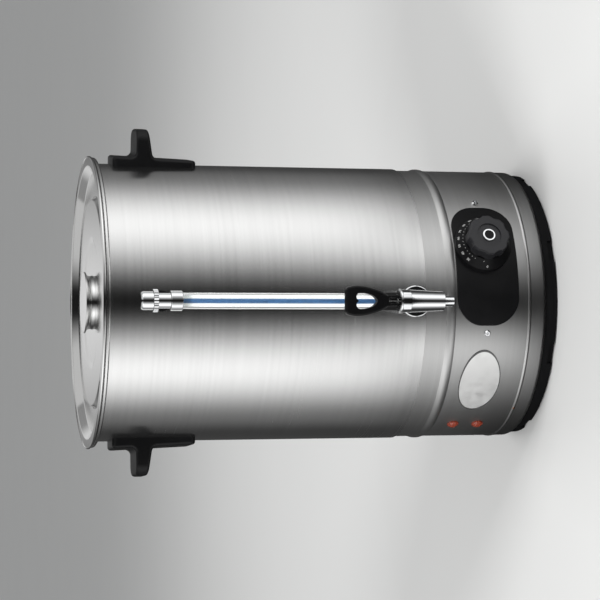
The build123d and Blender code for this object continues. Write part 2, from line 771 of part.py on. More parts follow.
def tap_mounting():
    """Gasket outside the tank wall and locking nut inside it; both follow the wall's curve."""
    bore = bar(shank_radius + running_gap, tap_y, -inside_clear, 0, tap_z)
    gasket = bar(shank_flange_radius, -(tank_radius + gasket_thickness), -tank_inside, 0, tap_z)
    gasket = beyond(gasket, tank_radius) - bore
    nut = hexagon_bar(shank_nut_radius, -tank_radius, -(tank_inside - shank_nut_height), 0, tap_z)
    nut = within(nut, tank_inside) - bore
    keep("tap_gasket", gasket)
    keep("tap_locknut", nut)


tap_mounting()


def tap_bonnet():
    """Plated ring nut that closes the tap's chamber and guides the stem."""
    shoulder = tap_top + bonnet_height
    bonnet = hexagon(bonnet_radius, tap_top, shoulder, 0, tap_y)
    bonnet += Pos(0, tap_y, shoulder) * Cone(
        bonnet_radius, bonnet_radius - bonnet_lip, bonnet_flange_height,
        align=(Align.CENTER, Align.CENTER, Align.MIN))
    bonnet -= post(tap_chamber_radius, tap_top - over, bonnet_inner_face, 0, tap_y)
    return bonnet - post(stem_radius + running_gap, tap_top, bonnet_top + over, 0, tap_y)


keep("tap_bonnet", tap_bonnet())


def tap_stem():
    """Stem: rod with a ball end for the lever's pin and a small plate above the seat cup."""
    stem = post(stem_radius, tap_seat + cup_height, pin_z, 0, tap_y)
    stem += Pos(0, tap_y, pin_z) * Sphere(stem_head_radius)
    stem += post(cup_plate_radius, tap_seat + cup_height, cup_plate_top, 0, tap_y)
    cross_hole = Pos(0, tap_y, pin_z) * Rot(0, 90, 0) * Cylinder(pin_radius + running_gap, lever_width)
    return stem - cross_hole


keep("tap_stem", tap_stem())
keep("tap_seat_cup", post(cup_radius, tap_seat, tap_seat + cup_height, 0, tap_y))


def tap_spring():
    """Closing spring between the stem's plate and the bonnet, with its ends just inside both faces."""
    end_gap = spring_wire / 2 + running_gap
    low = cup_plate_top + end_gap
    height = bonnet_inner_face - end_gap - low
    path = Helix(pitch=height / spring_turns, height=height, radius=spring_radius)
    section = Plane(origin=path @ 0, z_dir=path % 0) * Circle(spring_wire / 2)
    return Pos(0, tap_y, low) * sweep(section, path=path)


keep("tap_spring", tap_spring())


def tap_lever():
    """Black lever: shield with a heart-shaped window, and a slotted foot round the stem's end."""
    top = lever_height
    half = lever_width / 2
    corner_x = lever_top_width / 2
    foot_x = lever_foot_width / 2
    foot_low = -(stem_length_above - lever_foot_gap)
    shoulder_z = top - lever_shoulder_drop
    flank = (lever_flank_half_width, lever_flank_rise)
    right = [
        Spline((corner_x, top), (half, shoulder_z), tangents=[(0.35, -1), (0, -1)]),
        Spline((half, shoulder_z), flank, (foot_x, 0), tangents=[(0, -1), (-1, -0.9)]),
    ]
    left = [edge.mirror(Plane.YZ) for edge in right]
    foot = Polyline((foot_x, 0), (foot_x, foot_low), (-foot_x, foot_low), (-foot_x, 0))
    outline = make_face([Line((-corner_x, top), (corner_x, top))] + right + left + foot.edges())
    corners = outline.vertices().group_by(Axis.Y)[-1]
    outline = fillet(corners, lever_corner)
    back = lever_thickness / 2
    lever = slab_y(outline, -back, back)
    faces = lever.faces().sort_by(Axis.Y)
    rims = faces[0].edges() + faces[-1].edges()
    lever = fillet(rims.filter_by(lambda edge: edge.center().Z > foot_x), lever_round)
    toe_low = foot_low
    toe_top = -lever_heel_radius
    toe_middle = (toe_low + toe_top) / 2
    lever += Pos(0, -lever_toe / 2, toe_middle) * Box(lever_foot_width, lever_toe, toe_top - toe_low)
    window_top = top - lever_window_drop
    window_low = window_top - lever_window_height
    side = lever_window_width / 2
    shoulder = window_top - side / 2
    notch = window_top - lever_window_notch
    window = [
        ThreePointArc((0, notch), (lever_lobe_middle, window_top), (side, shoulder)),
        Spline((side, shoulder), (0, window_low), tangents=[(0, -1), (-1, -0.45)]),
    ]
    window += [edge.mirror(Plane.YZ) for edge in window]
    lever -= slab_y(make_face(window), -lever_thickness, lever_thickness)
    socket = stem_head_radius + stem_head_clearance
    slot_width = min(2 * socket, lever_foot_width - 2 * lever_cheek)
    lever -= Pos(0, 0, foot_low - over) * Box(
        slot_width, 4 * lever_toe, over - foot_low, align=(Align.CENTER, Align.CENTER, Align.MIN))
    lever -= Pos(0, -socket, -over) * Box(
        slot_width, 4 * lever_toe, socket + over, align=(Align.CENTER, Align.MIN, Align.MIN))
    lever -= Rot(0, 90, 0) * Cylinder(pin_radius + running_gap, lever_width)
    return Pos(0, tap_y, pin_z) * lever


keep("tap_lever", tap_lever())
keep("lever_pin", Pos(0, tap_y, pin_z) * Rot(0, 90, 0) * Cylinder(pin_radius, lever_foot_width))

# ---------------------------------------------------------------- sight gauge
upper_neck_foot = gauge_stud_z - upper_neck_length / 2
collar_foot = gauge_stud_z + upper_neck_length / 2
upper_nut_foot = upper_neck_foot - upper_nut_length
glass_top = upper_neck_foot - spigot_length - seal_height
cap_foot = collar_foot + collar_length
cap_top = cap_foot + cap_length


def gauge_tee():
    """Plated fitting at the gauge's top: neck, end spigots, and a stud through the tank wall."""
    neck = post(spigot_radius, upper_neck_foot - spigot_length, collar_foot, 0, gauge_y)
    spigot = post(cap_spigot_radius, collar_foot - over, cap_top - cap_wall - cap_spigot_gap, 0, gauge_y)
    stud = bar(stud_radius, gauge_y, -(tank_inside - stud_reach_in), 0, gauge_stud_z)
    flange_face_y = -(tank_radius + gasket_thickness)
    flange = bar(stud_flange_radius, flange_face_y - stud_flange_thickness, flange_face_y, 0, gauge_stud_z)
    tee = neck + spigot + stud + flange
    tee -= post(vent_radius, upper_neck_foot - spigot_length - over, cap_top, 0, gauge_y)
    return tee - bar(vent_radius, gauge_y, -tank_inside + stud_reach_in + over, 0, gauge_stud_z)


def gauge_cap():
    """Domed cap with a vent, screwed over the fitting's upper spigot."""
    cap = post(cap_radius, cap_foot, cap_top, 0, gauge_y)
    cap = fillet(cap.edges().group_by(Axis.Z)[-1], cap_round)
    return cap - post(cap_spigot_radius + running_gap, cap_foot - over, cap_top - cap_wall, 0, gauge_y)


keep("gauge_tee", gauge_tee())
keep("gauge_cap", gauge_cap())
keep("gauge_collar", ring(collar_radius, cap_spigot_radius + running_gap, collar_foot, cap_foot, 0, gauge_y))
upper_nut = hexagon(upper_nut_radius, upper_nut_foot, upper_neck_foot, 0, gauge_y)
chamfered = post(upper_nut_radius, upper_nut_foot, upper_neck_foot, 0, gauge_y)
upper_nut &= chamfer(chamfered.edges().filter_by(GeomType.CIRCLE), upper_nut_chamfer)
keep("gauge_upper_nut", upper_nut - post(
    glass_radius + running_gap, upper_nut_foot - over, upper_neck_foot + over, 0, gauge_y))
keep("gauge_lower_nut", ring(lower_nut_radius, glass_radius + running_gap, lower_nut_foot, lower_nut_top,
                             0, gauge_y))
glass_bore = glass_radius - glass_wall
upper_seal = ring(glass_radius, glass_bore, glass_top, glass_top + seal_height, 0, gauge_y)
lower_seal = ring(glass_radius, glass_bore, glass_foot - seal_height, glass_foot, 0, gauge_y)
keep("gauge_glass", ring(glass_radius, glass_bore, glass_foot, glass_top, 0, gauge_y))


def gauge_stripe():
    """Coloured backing strip fused to the rear of the glass's outside."""
    outer = glass_radius + stripe_thickness
    strip = ring(outer, glass_radius, lower_nut_top + loose_gap, upper_nut_foot - loose_gap, 0, gauge_y)
    rear = Pos(0, gauge_y + outer / 2 + over, (lower_nut_top + upper_nut_foot) / 2) * Box(
        stripe_width, outer, upper_nut_foot - lower_nut_top)
    return strip & rear


keep("gauge_stripe", gauge_stripe())


def gauge_mounting():
    """Gasket outside the tank wall and locking nut inside it, for the gauge's stud; the glass's two seals."""
    bore = bar(stud_radius + running_gap, gauge_y, -inside_clear, 0, gauge_stud_z)
    gasket = bar(stud_flange_radius, -(tank_radius + gasket_thickness), -tank_inside, 0, gauge_stud_z)
    gasket = beyond(gasket, tank_radius) - bore
    nut = hexagon_bar(stud_nut_radius, -tank_radius, -(tank_inside - stud_nut_height), 0, gauge_stud_z)
    nut = within(nut, tank_inside) - bore
    keep("gauge_seals", gasket, upper_seal, lower_seal)
    keep("gauge_locknut", nut)


gauge_mounting()


# ---------------------------------------------------------------- control plate, its screws and strap
def control_plate():
    """Black plate with round ends, curved to lie on the skirt."""
    outline = RectangleRounded(panel_width, panel_height, panel_corner)
    plate = slab_y(outline, -(plate_face + over), 0, 0, panel_z)
    plate = beyond(within(plate, plate_face), skirt_radius)
    hole = bar(bush_radius + loose_gap, -(plate_face + over), -(skirt_radius - far_over), 0, dial_z)
    return swing(plate, panel_azimuth) - swing(hole, dial_azimuth)


keep("control_plate", control_plate())


def control_strap():
    """Steel strap bent to the skirt's inside; it carries the thermostat."""
    reach = skirt_inside * sin(radians(screw_azimuth)) + bracket_margin
    blank = Pos(0, -skirt_inside, panel_z) * Box(2 * reach, skirt_inside, bracket_height)
    strap = swing(within(beyond(blank, skirt_inside - bracket_thickness), skirt_inside), panel_azimuth)
    hole_end = -(skirt_inside - far_over)
    strap -= swing(bar(bush_radius + loose_gap, -skirt_radius, hole_end, 0, dial_z), dial_azimuth)
    for azimuth in panel_screw_azimuths:
        strap -= swing(bar(panel_screw_radius + running_gap, -skirt_radius, hole_end, 0, panel_z), azimuth)
    return strap


keep("control_strap", control_strap())


def panel_screws():
    """Domed screws beside the plate, threaded into the strap."""
    shank_end = -(skirt_inside - bracket_thickness) + panel_screw_tip
    screws = []
    for azimuth in panel_screw_azimuths:
        head_face = -(skirt_radius + panel_screw_head_height)
        head = bar(panel_screw_head_radius, head_face, -skirt_radius + over, 0, panel_z)
        head = fillet(head.edges().filter_by(GeomType.CIRCLE).sort_by(Axis.Y)[0], panel_screw_head_round)
        screw = beyond(head, skirt_radius)
        screw += bar(panel_screw_radius, head_face + panel_screw_head_height / 2, shank_end, 0, panel_z)
        screws.append(swing(screw, azimuth))
    keep("panel_screws", *screws)


panel_screws()

# ---------------------------------------------------------------- thermostat, drawn at the front
dial_edge_y = -(plate_face + dial_standoff)
dial_top_y = dial_edge_y - dial_bevel_height
knob_back_y = dial_top_y - knob_gap
knob_face_y = knob_back_y - knob_height
strap_face = skirt_inside - bracket_thickness
thermostat_front_y = -sqrt(strap_face ** 2 - (thermostat_width / 2) ** 2) + loose_gap
bush_end_y = -(plate_face + bush_nut_height + bush_proud)


def dial_ring():
    """Fixed black dial: a drum that follows the plate's curve, bevelled to carry the scale."""
    drum = bar(dial_radius, dial_edge_y, -(plate_face - far_over), 0, dial_z)
    bevel = Pos(0, dial_edge_y, dial_z) * Rot(90, 0, 0) * Cone(
        dial_radius, dial_top_radius, dial_bevel_height, align=(Align.CENTER, Align.CENTER, Align.MIN))
    dial = beyond(drum + bevel, plate_face)
    dial -= bar(bush_nut_radius + bush_recess_gap, bush_end_y - bush_recess_gap, 0, 0, dial_z)
    return dial - bar(bush_radius + bush_recess_gap, dial_top_y - over, 0, 0, dial_z)


keep("dial_ring", swing(dial_ring(), dial_azimuth))


def thermostat_body():
    """Capillary thermostat: case behind the strap and a threaded bush through strap, skirt and plate."""
    case = Pos(0, thermostat_front_y, dial_z) * Box(
        thermostat_width, thermostat_depth, thermostat_height, align=(Align.CENTER, Align.MIN, Align.CENTER))
    case += within(bar(bush_nut_radius, -strap_face - over, thermostat_front_y, 0, dial_z), strap_face)
    case += bar(bush_radius, bush_end_y, thermostat_front_y + shaft_sunk, 0, dial_z)
    shaft_room = thermostat_front_y + shaft_sunk + loose_gap
    return case - bar(shaft_radius + running_gap, bush_end_y - over, shaft_room, 0, dial_z)


keep("thermostat_body", swing(thermostat_body(), dial_azimuth))
bush_nut = beyond(bar(bush_nut_radius, -(plate_face + bush_nut_height), -skirt_inside, 0, dial_z), plate_face)
bush_nut -= bar(bush_radius + running_gap, bush_end_y - over, 0, 0, dial_z)
keep("thermostat_nut", swing(bush_nut, dial_azimuth))


def d_shaft(radius, start, end):
    """Shaft with one flat."""
    shaft = bar(radius, start, end, 0, dial_z)
    flat = Pos(0, (start + end) / 2, dial_z + shaft_radius - shaft_flat + radius) * Box(
        4 * radius, abs(end - start) + 2 * over, 2 * radius)
    return shaft - flat


shaft_end_y = knob_back_y - knob_bore_depth + loose_gap
shaft = bar(shaft_radius, bush_end_y, thermostat_front_y + shaft_sunk, 0, dial_z)
shaft += d_shaft(shaft_radius, shaft_end_y, bush_end_y)
keep("thermostat_shaft", swing(shaft, dial_azimuth))


def thermostat_knob():
    """Black lobed knob with a dished face."""
    knob = bar(knob_radius, knob_back_y, knob_face_y, 0, dial_z)
    reach = knob_radius + knob_scallop_radius - knob_scallop_depth
    for i in range(knob_lobes):
        turn = radians(90 + (i + 0.5) * full_turn / knob_lobes)
        knob -= bar(knob_scallop_radius, knob_back_y + over, knob_face_y - over,
                    reach * cos(turn), dial_z + reach * sin(turn))
    knob = fillet(knob.faces().sort_by(Axis.Y)[0].edges(), knob_edge)
    knob -= bar(knob_dish_radius, knob_face_y - over, knob_face_y + knob_dish_depth, 0, dial_z)
    return knob - d_shaft(shaft_radius + running_gap, knob_back_y - knob_bore_depth, knob_back_y + over)


keep("thermostat_knob", swing(thermostat_knob(), dial_azimuth))
cap_seat_y = knob_face_y + knob_dish_depth
knob_cap = bar(knob_cap_radius, cap_seat_y - knob_cap_height, cap_seat_y, 0, dial_z)
keep("knob_cap", swing(knob_cap, dial_azimuth))


def sensor():
    """Sensing bulb under the tank's floor, and the capillary down to the thermostat's side."""
    level = tank_floor_under - bulb_radius
    half = bulb_length / 2
    y = -bulb_ring_radius
    bulb = Pos(0, y, level) * Rot(0, 90, 0) * Cylinder(bulb_radius, bulb_length)
    bend_x = half + capillary_reach
    case_side = thermostat_width / 2
    points = [(half - over, y, level), (bend_x, y, level), (bend_x, y, dial_z), (case_side, y, dial_z)]
    path = FilletPolyline(*points, radius=capillary_bend)
    tube = sweep(Plane(origin=path @ 0, z_dir=path % 0) * Circle(capillary_radius), path=path)
    return bulb + tube


keep("thermostat_sensor", swing(sensor(), dial_azimuth))


def bulb_clip():
    """Spring clip welded under the tank's floor that holds the bulb."""
    level = tank_floor_under - bulb_radius
    outer = bulb_radius + clip_thickness
    y = -bulb_ring_radius
    saddle = Pos(0, y, level) * Rot(0, 90, 0) * Cylinder(outer, clip_width)
    saddle += Pos(0, y, level + bulb_radius / 2) * Box(clip_width, 2 * outer, bulb_radius)
    saddle += Pos(0, y, tank_floor_under - clip_thickness / 2) * Box(clip_width, 4 * outer, clip_thickness)
    saddle -= Pos(0, y, level) * Rot(0, 90, 0) * Cylinder(bulb_radius, clip_width + 2 * over)
    saddle -= Pos(0, y, level + bulb_radius) * Box(clip_width + 2 * over, 2 * bulb_radius, 2 * bulb_radius)
    return saddle & post(tank_radius, 0, tank_floor_under)


keep("bulb_clip", swing(bulb_clip(), dial_azimuth))


# ---------------------------------------------------------------- pilot lamps
def lamp(level):
    """Red lens with a rim on the skirt, and its body through the skirt."""
    rim_face = -(skirt_radius + lamp_lens_rim)
    rim = bar(lamp_lens_radius, rim_face, -skirt_inside, 0, level)
    rise = lamp_lens_height - lamp_lens_rim
    dome_radius = (lamp_lens_radius ** 2 + rise ** 2) / (2 * rise)
    dome = Pos(0, rim_face - rise + dome_radius, level) * Sphere(dome_radius)
    dome &= bar(lamp_lens_radius, rim_face - lamp_lens_height, rim_face + lamp_lens_rim / 2, 0, level)
    lens = swing(beyond(rim + dome, skirt_radius), lamp_azimuth)
    body = bar(lamp_body_radius, -skirt_radius, -(skirt_radius - lamp_body_length), 0, level)
    return lens, swing(within(body, skirt_radius), lamp_azimuth)


lamps = [lamp(level) for level in lamp_levels]
keep("lamp_lenses", *[lens for lens, body in lamps])
keep("lamp_bodies", *[body for lens, body in lamps])


# ---------------------------------------------------------------- blank badge
def badge():
    """Oval satin plate, curved to lie on the skirt."""
    oval = Ellipse(badge_width / 2, badge_height / 2)
    plate = slab_y(oval, -(skirt_radius + far_over), 0, 0, skirt_foot + badge_rise)
    return swing(beyond(within(plate, skirt_radius + badge_thickness), skirt_radius), badge_azimuth)


keep("badge_plate", badge())

# ---------------------------------------------------------------- heater under the tank's floor
plate_under = tank_floor_under - plate_thickness
element_z = plate_under - element_tube_radius - element_seat_gap

keep("heater_plate", ring(plate_radius, stud_thread_radius + running_gap, plate_under, tank_floor_under))


def element():
    """Tubular element: a nearly full ring with both ends turned down."""
    section = Plane.XZ * Pos(element_ring_radius, element_z) * Circle(element_tube_radius)
    start = -90 + (full_turn - element_span) / 2
    coil = swing(revolve(section, Axis.Z, revolution_arc=element_span), start)
    for azimuth in (start, start + element_span):
        x, y = element_ring_radius * cos(radians(azimuth)), element_ring_radius * sin(radians(azimuth))
        coil += post(element_tube_radius, element_z - element_leg_length, element_z, x, y)
        coil += Pos(x, y, element_z) * Sphere(element_tube_radius)
    return coil


keep("heating_element", element())
heater_nut = hexagon(stud_hex_radius, plate_under - stud_hex_height, plate_under)
heater_nut -= post(stud_thread_radius + running_gap, plate_under - stud_hex_height - over, plate_under + over)
keep("heater_nut", heater_nut)


def cutout():
    """Boil-dry cut-out: a disc thermostat pressed to the heater plate, with two blade terminals."""
    low = plate_under - cutout_height
    body = post(cutout_radius, low, plate_under, 0, cutout_offset)
    for side in (-1, 1):
        body += Pos(side * cutout_radius / 2, cutout_offset, low - cutout_pin_length / 2) * Box(
            cutout_pin_thickness, cutout_pin_width, cutout_pin_length)
    return body


keep("boil_dry_cutout", cutout())


# ---------------------------------------------------------------- tie rods, heat shield, base screws
def tie_rod():
    """Stepped rod from the tank's floor down to the tray's boss."""
    rod = post(tie_radius, shield_z + sheet, tank_floor_under, 0, -tie_circle)
    rod += post(tie_thread_radius, boss_top, shield_z + sheet, 0, -tie_circle)
    screw_room = base_screw_seat + base_screw_length + loose_gap
    return rod - post(base_screw_radius + running_gap, boss_top - over, screw_room, 0, -tie_circle)


keep("tie_rods", *tie_places(tie_rod()))
shield = post(shield_radius, shield_z, shield_z + sheet)
tie_hole = post(tie_thread_radius + running_gap, shield_z - over, shield_z + sheet + over, 0, -tie_circle)
for hole in tie_places(tie_hole):
    shield -= hole
keep("heat_shield", shield)
shield_nut = hexagon(shield_nut_radius, shield_z - shield_nut_height, shield_z, 0, -tie_circle)
shield_nut -= post(tie_thread_radius + running_gap, shield_z - shield_nut_height - over, shield_z + over,
                   0, -tie_circle)
keep("shield_nuts", *tie_places(shield_nut))
base_screw_foot = base_screw_seat - base_screw_head_height
base_screw = post(base_screw_head_radius, base_screw_foot, base_screw_seat, 0, -tie_circle)
base_screw += post(base_screw_radius, base_screw_seat, base_screw_seat + base_screw_length, 0, -tie_circle)
keep("base_screws", *tie_places(base_screw))


# ---------------------------------------------------------------- terminals and the earth stud's nut
def terminal_block():
    """Block of screw terminals on the tray's floor."""
    block = Pos(0, terminal_offset, tray_floor_top) * Box(
        terminal_width, terminal_depth, terminal_height, align=(Align.CENTER, Align.CENTER, Align.MIN))
    pitch = terminal_width / terminal_ways
    top = tray_floor_top + terminal_height
    for i in range(terminal_ways):
        x = (i - (terminal_ways - 1) / 2) * pitch
        block -= post(terminal_well_radius, top - terminal_well_depth, top + over, x, terminal_offset)
        block -= bar(terminal_wire_radius, terminal_offset - terminal_depth,
                     terminal_offset + terminal_depth, x, tray_floor_top + terminal_wire_rise)
    return block


keep("terminal_block", terminal_block())
earth_nut_z = tank_floor_under - earth_stud_length + earth_stud_end
earth_nut = hexagon(earth_nut_radius, earth_nut_z, earth_nut_z + earth_nut_height, 0, -earth_stud_circle)
earth_nut -= post(earth_stud_radius + running_gap, earth_nut_z - over, earth_nut_z + earth_nut_height + over,
                  0, -earth_stud_circle)
keep("earth_nut", swing(earth_nut, earth_stud_azimuth))


# ---------------------------------------------------------------- mains inlet at the back
def inlet_body():
    """Appliance inlet, drawn at the front: flange on the skirt and a socket that reaches inside."""
    front = -(skirt_radius + inlet_flange_thickness)
    back = -(skirt_radius - inlet_depth)
    flange_height = inlet_height + 2 * inlet_flange_margin
    flange_outline = RectangleRounded(inlet_flange_width, flange_height, inlet_corner)
    flange = beyond(slab_y(flange_outline, front, -inside_clear, 0, inlet_z), skirt_radius)
    socket = RectangleRounded(inlet_width, inlet_height, inlet_corner - loose_gap)
    inner_width, inner_height = inlet_width - 2 * inlet_wall, inlet_height - 2 * inlet_wall
    cavity = RectangleRounded(inner_width, inner_height, inlet_cavity_corner)
    body = flange + slab_y(socket, front, back, 0, inlet_z)
    body -= slab_y(cavity, front - over, back - inlet_floor, 0, inlet_z)
    for side in (-1, 1):
        hole_x = side * inlet_screw_x
        body -= bar(inlet_screw_radius + running_gap, front - over, -inside_clear, hole_x, inlet_z)
    for blade in inlet_blades():
        body -= blade
    return body


def inlet_blades():
    """The three blades, drawn at the front: live and neutral below, earth above."""
    back = -(skirt_radius - inlet_depth)
    tip, tail = back - inlet_floor - blade_reach, back + blade_tail
    places = [(-blade_pitch, -blade_height / 4), (blade_pitch, -blade_height / 4), (0, blade_height / 4)]
    return [slab_y(Rectangle(blade_width, blade_height), tip, tail, x, inlet_z + rise) for x, rise in places]


keep("inlet_body", swing(inlet_body(), inlet_azimuth))
keep("inlet_blades", *[swing(blade, inlet_azimuth) for blade in inlet_blades()])


def inlet_screws():
    """Two screws that hold the inlet's flange to the skirt."""
    screws = []
    face = -(skirt_radius + inlet_flange_thickness)
    for side in (-1, 1):
        x = side * inlet_screw_x
        screw = bar(inlet_screw_head_radius, face - inlet_screw_head_height, face, x, inlet_z)
        screw += bar(inlet_screw_radius, face, face + inlet_screw_length, x, inlet_z)
        screws.append(swing(screw, inlet_azimuth))
    keep("inlet_screws", *screws)


inlet_screws()

# ---------------------------------------------------------------- files
os.makedirs("parts", exist_ok=True)
for name, shape in nodes.items():
    export_step(shape, f"parts/{name}.step")
print(len(nodes), "sub-parts written")
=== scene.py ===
"""Hot water urn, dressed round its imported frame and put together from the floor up.

Metres, +Z up, the origin on the table under the middle of the urn. The tap and the gauge face -Y.
"""

from math import atan2, cos, degrees, pi, radians, sin, sqrt, tan

import bmesh
import bpy
from mathutils import Matrix, Vector


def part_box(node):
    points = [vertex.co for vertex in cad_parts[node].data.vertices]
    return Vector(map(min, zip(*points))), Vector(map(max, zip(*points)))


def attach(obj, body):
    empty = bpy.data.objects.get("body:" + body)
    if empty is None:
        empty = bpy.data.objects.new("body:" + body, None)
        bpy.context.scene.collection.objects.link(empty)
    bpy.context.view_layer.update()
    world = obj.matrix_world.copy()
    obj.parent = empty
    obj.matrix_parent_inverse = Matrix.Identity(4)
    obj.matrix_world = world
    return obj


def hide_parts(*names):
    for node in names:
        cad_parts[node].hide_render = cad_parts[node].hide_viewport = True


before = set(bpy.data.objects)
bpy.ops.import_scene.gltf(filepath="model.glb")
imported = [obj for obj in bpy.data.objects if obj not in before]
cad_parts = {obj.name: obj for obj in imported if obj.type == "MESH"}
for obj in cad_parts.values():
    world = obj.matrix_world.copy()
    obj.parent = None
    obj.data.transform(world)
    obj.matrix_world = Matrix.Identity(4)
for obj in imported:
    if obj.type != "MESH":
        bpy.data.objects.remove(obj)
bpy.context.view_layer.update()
scene = bpy.context.scene

# ---------------------------------------------------------------- camera
# A long lens from a little above the lid. The frame lies on its side, with the urn's top at the left, so the
# camera is rolled a quarter turn.
lens_mm = 113.9
camera_distance = 2.0505
camera_height = 0.7178
camera_aside = 0.0035
camera_swing = radians(-0.8)
camera_tilt = 0.225
camera_roll = radians(-90) + 0.003

camera = bpy.data.objects.new("camera", bpy.data.cameras.new("camera"))
scene.collection.objects.link(camera)
camera.data.lens = lens_mm
camera.data.sensor_width = 36
stand = Matrix.Translation((camera_aside, -camera_distance, camera_height))
aim = Matrix.Rotation(radians(90) - camera_tilt, 4, "X") @ Matrix.Rotation(camera_roll, 4, "Z")
camera.matrix_world = Matrix.Rotation(camera_swing, 4, "Z") @ stand @ aim
scene.camera = camera

# ---------------------------------------------------------------- studio
# A pale seamless floor under three soft lamps. Polished metal is lit by a tent of white cloth round the urn,
# seen only in reflections: bright left and right of the camera, dark behind it, with a gap in its roof.
floor_tone = (0.74, 0.74, 0.73, 1)
floor_reach = 14.0
room_tone = (0.86, 0.87, 0.88, 1)
room_light = 0.42
tent_radius = 0.62
tent_top = 1.0
tent_lift = 0.002
tent_peak = 1.6
tent_edge = 2.6                 # how sharply each bright side begins and ends
tent_lobe = radians(109.5)      # azimuth at which each bright side has faded out
tent_skew = radians(7.5)        # the right side reaches this much further, and the left one less
tent_tail = 0.20                # a weaker glow past the middle of each bright side
tail_start, tail_end = 0.58, 1.22
low_level = 0.7                 # upright cloth at the floor; it has its full level from low_fade upwards
low_fade = 0.09
cloth_laid_below = 0.003
cloth_fade_in = 0.17            # the cloth on the floor starts to show this far from the urn's middle
cloth_full = 0.36
cloth_floor_level = 0.95        # cloth on the floor, against the cloth upright
cloth_narrower = 0.7            # its bright sides lie nearer the middle than those of the upright cloth
roof_gap = 0.035                # half width of the dark gap in the roof
roof_edge = 0.17
roof_level = 0.72
tent_edge_level = 0.06          # cloth beside the bright sides
edge_start, edge_full = 0.9, 1.7
tent_dark_level = 0.012         # cloth round the camera's opening
tent_back_lobe = radians(152)   # azimuth at which the glow behind the urn begins
tent_back_level = 0.7
tent_high_level = 0.34          # cloth behind the urn, above its lid
tent_high_start, tent_high_fade = 0.50, 0.12
high_behind_start, high_behind_full = 1.9, 2.6
high_middle_level = 0.45        # that cloth straight behind the urn
high_middle_edge, high_middle_end = 0.01, 0.11


def new_finish(name):
    """A new finish with nodes: its output and its main shader."""
    finish = bpy.data.materials.new(name)
    finish.use_nodes = True
    return finish


def add_node(finish, kind, sockets=None, **settings):
    """A shader node with its settings; a socket takes a value or another node's output."""
    node = finish.node_tree.nodes.new("ShaderNode" + kind)
    for name, value in settings.items():
        setattr(node, name, value)
    for name, value in (sockets or {}).items():
        if isinstance(value, bpy.types.NodeSocket):
            finish.node_tree.links.new(value, node.inputs[name])
        else:
            node.inputs[name].default_value = value
    return node


def maths(finish, operation, first, second=0.0):
    """One step of arithmetic between two values or outputs."""
    return add_node(finish, "Math", {0: first, 1: second}, operation=operation).outputs[0]


def mixed_colour(finish, share, first, second):
    """A colour between two others."""
    node = add_node(finish, "Mix", data_type="RGBA")
    for index, value in ((0, share), (6, first), (7, second)):
        if isinstance(value, bpy.types.NodeSocket):
            finish.node_tree.links.new(value, node.inputs[index])
        else:
            node.inputs[index].default_value = value
    return node.outputs[2]


def finished_mesh(name, builder):
    """The mesh that a builder holds; the builder is given up."""
    mesh = bpy.data.meshes.new(name)
    builder.to_mesh(mesh)
    builder.free()
    return mesh


def floor_finish():
    """Pale matt paper with a very faint mottle."""
    finish = new_finish("studio_paper")
    place = add_node(finish, "TexCoord").outputs["Object"]
    mottle = add_node(finish, "TexNoise", {"Vector": place, "Scale": 3.0, "Detail": 3.0}).outputs["Fac"]
    shader = finish.node_tree.nodes["Principled BSDF"]
    darker = tuple(tone * 0.97 for tone in floor_tone[:3]) + (1,)
    finish.node_tree.links.new(mixed_colour(finish, mottle, darker, floor_tone), shader.inputs["Base Color"])
    shader.inputs["Roughness"].default_value = 0.9
    shader.inputs["Specular IOR Level"].default_value = 0.2
    return finish


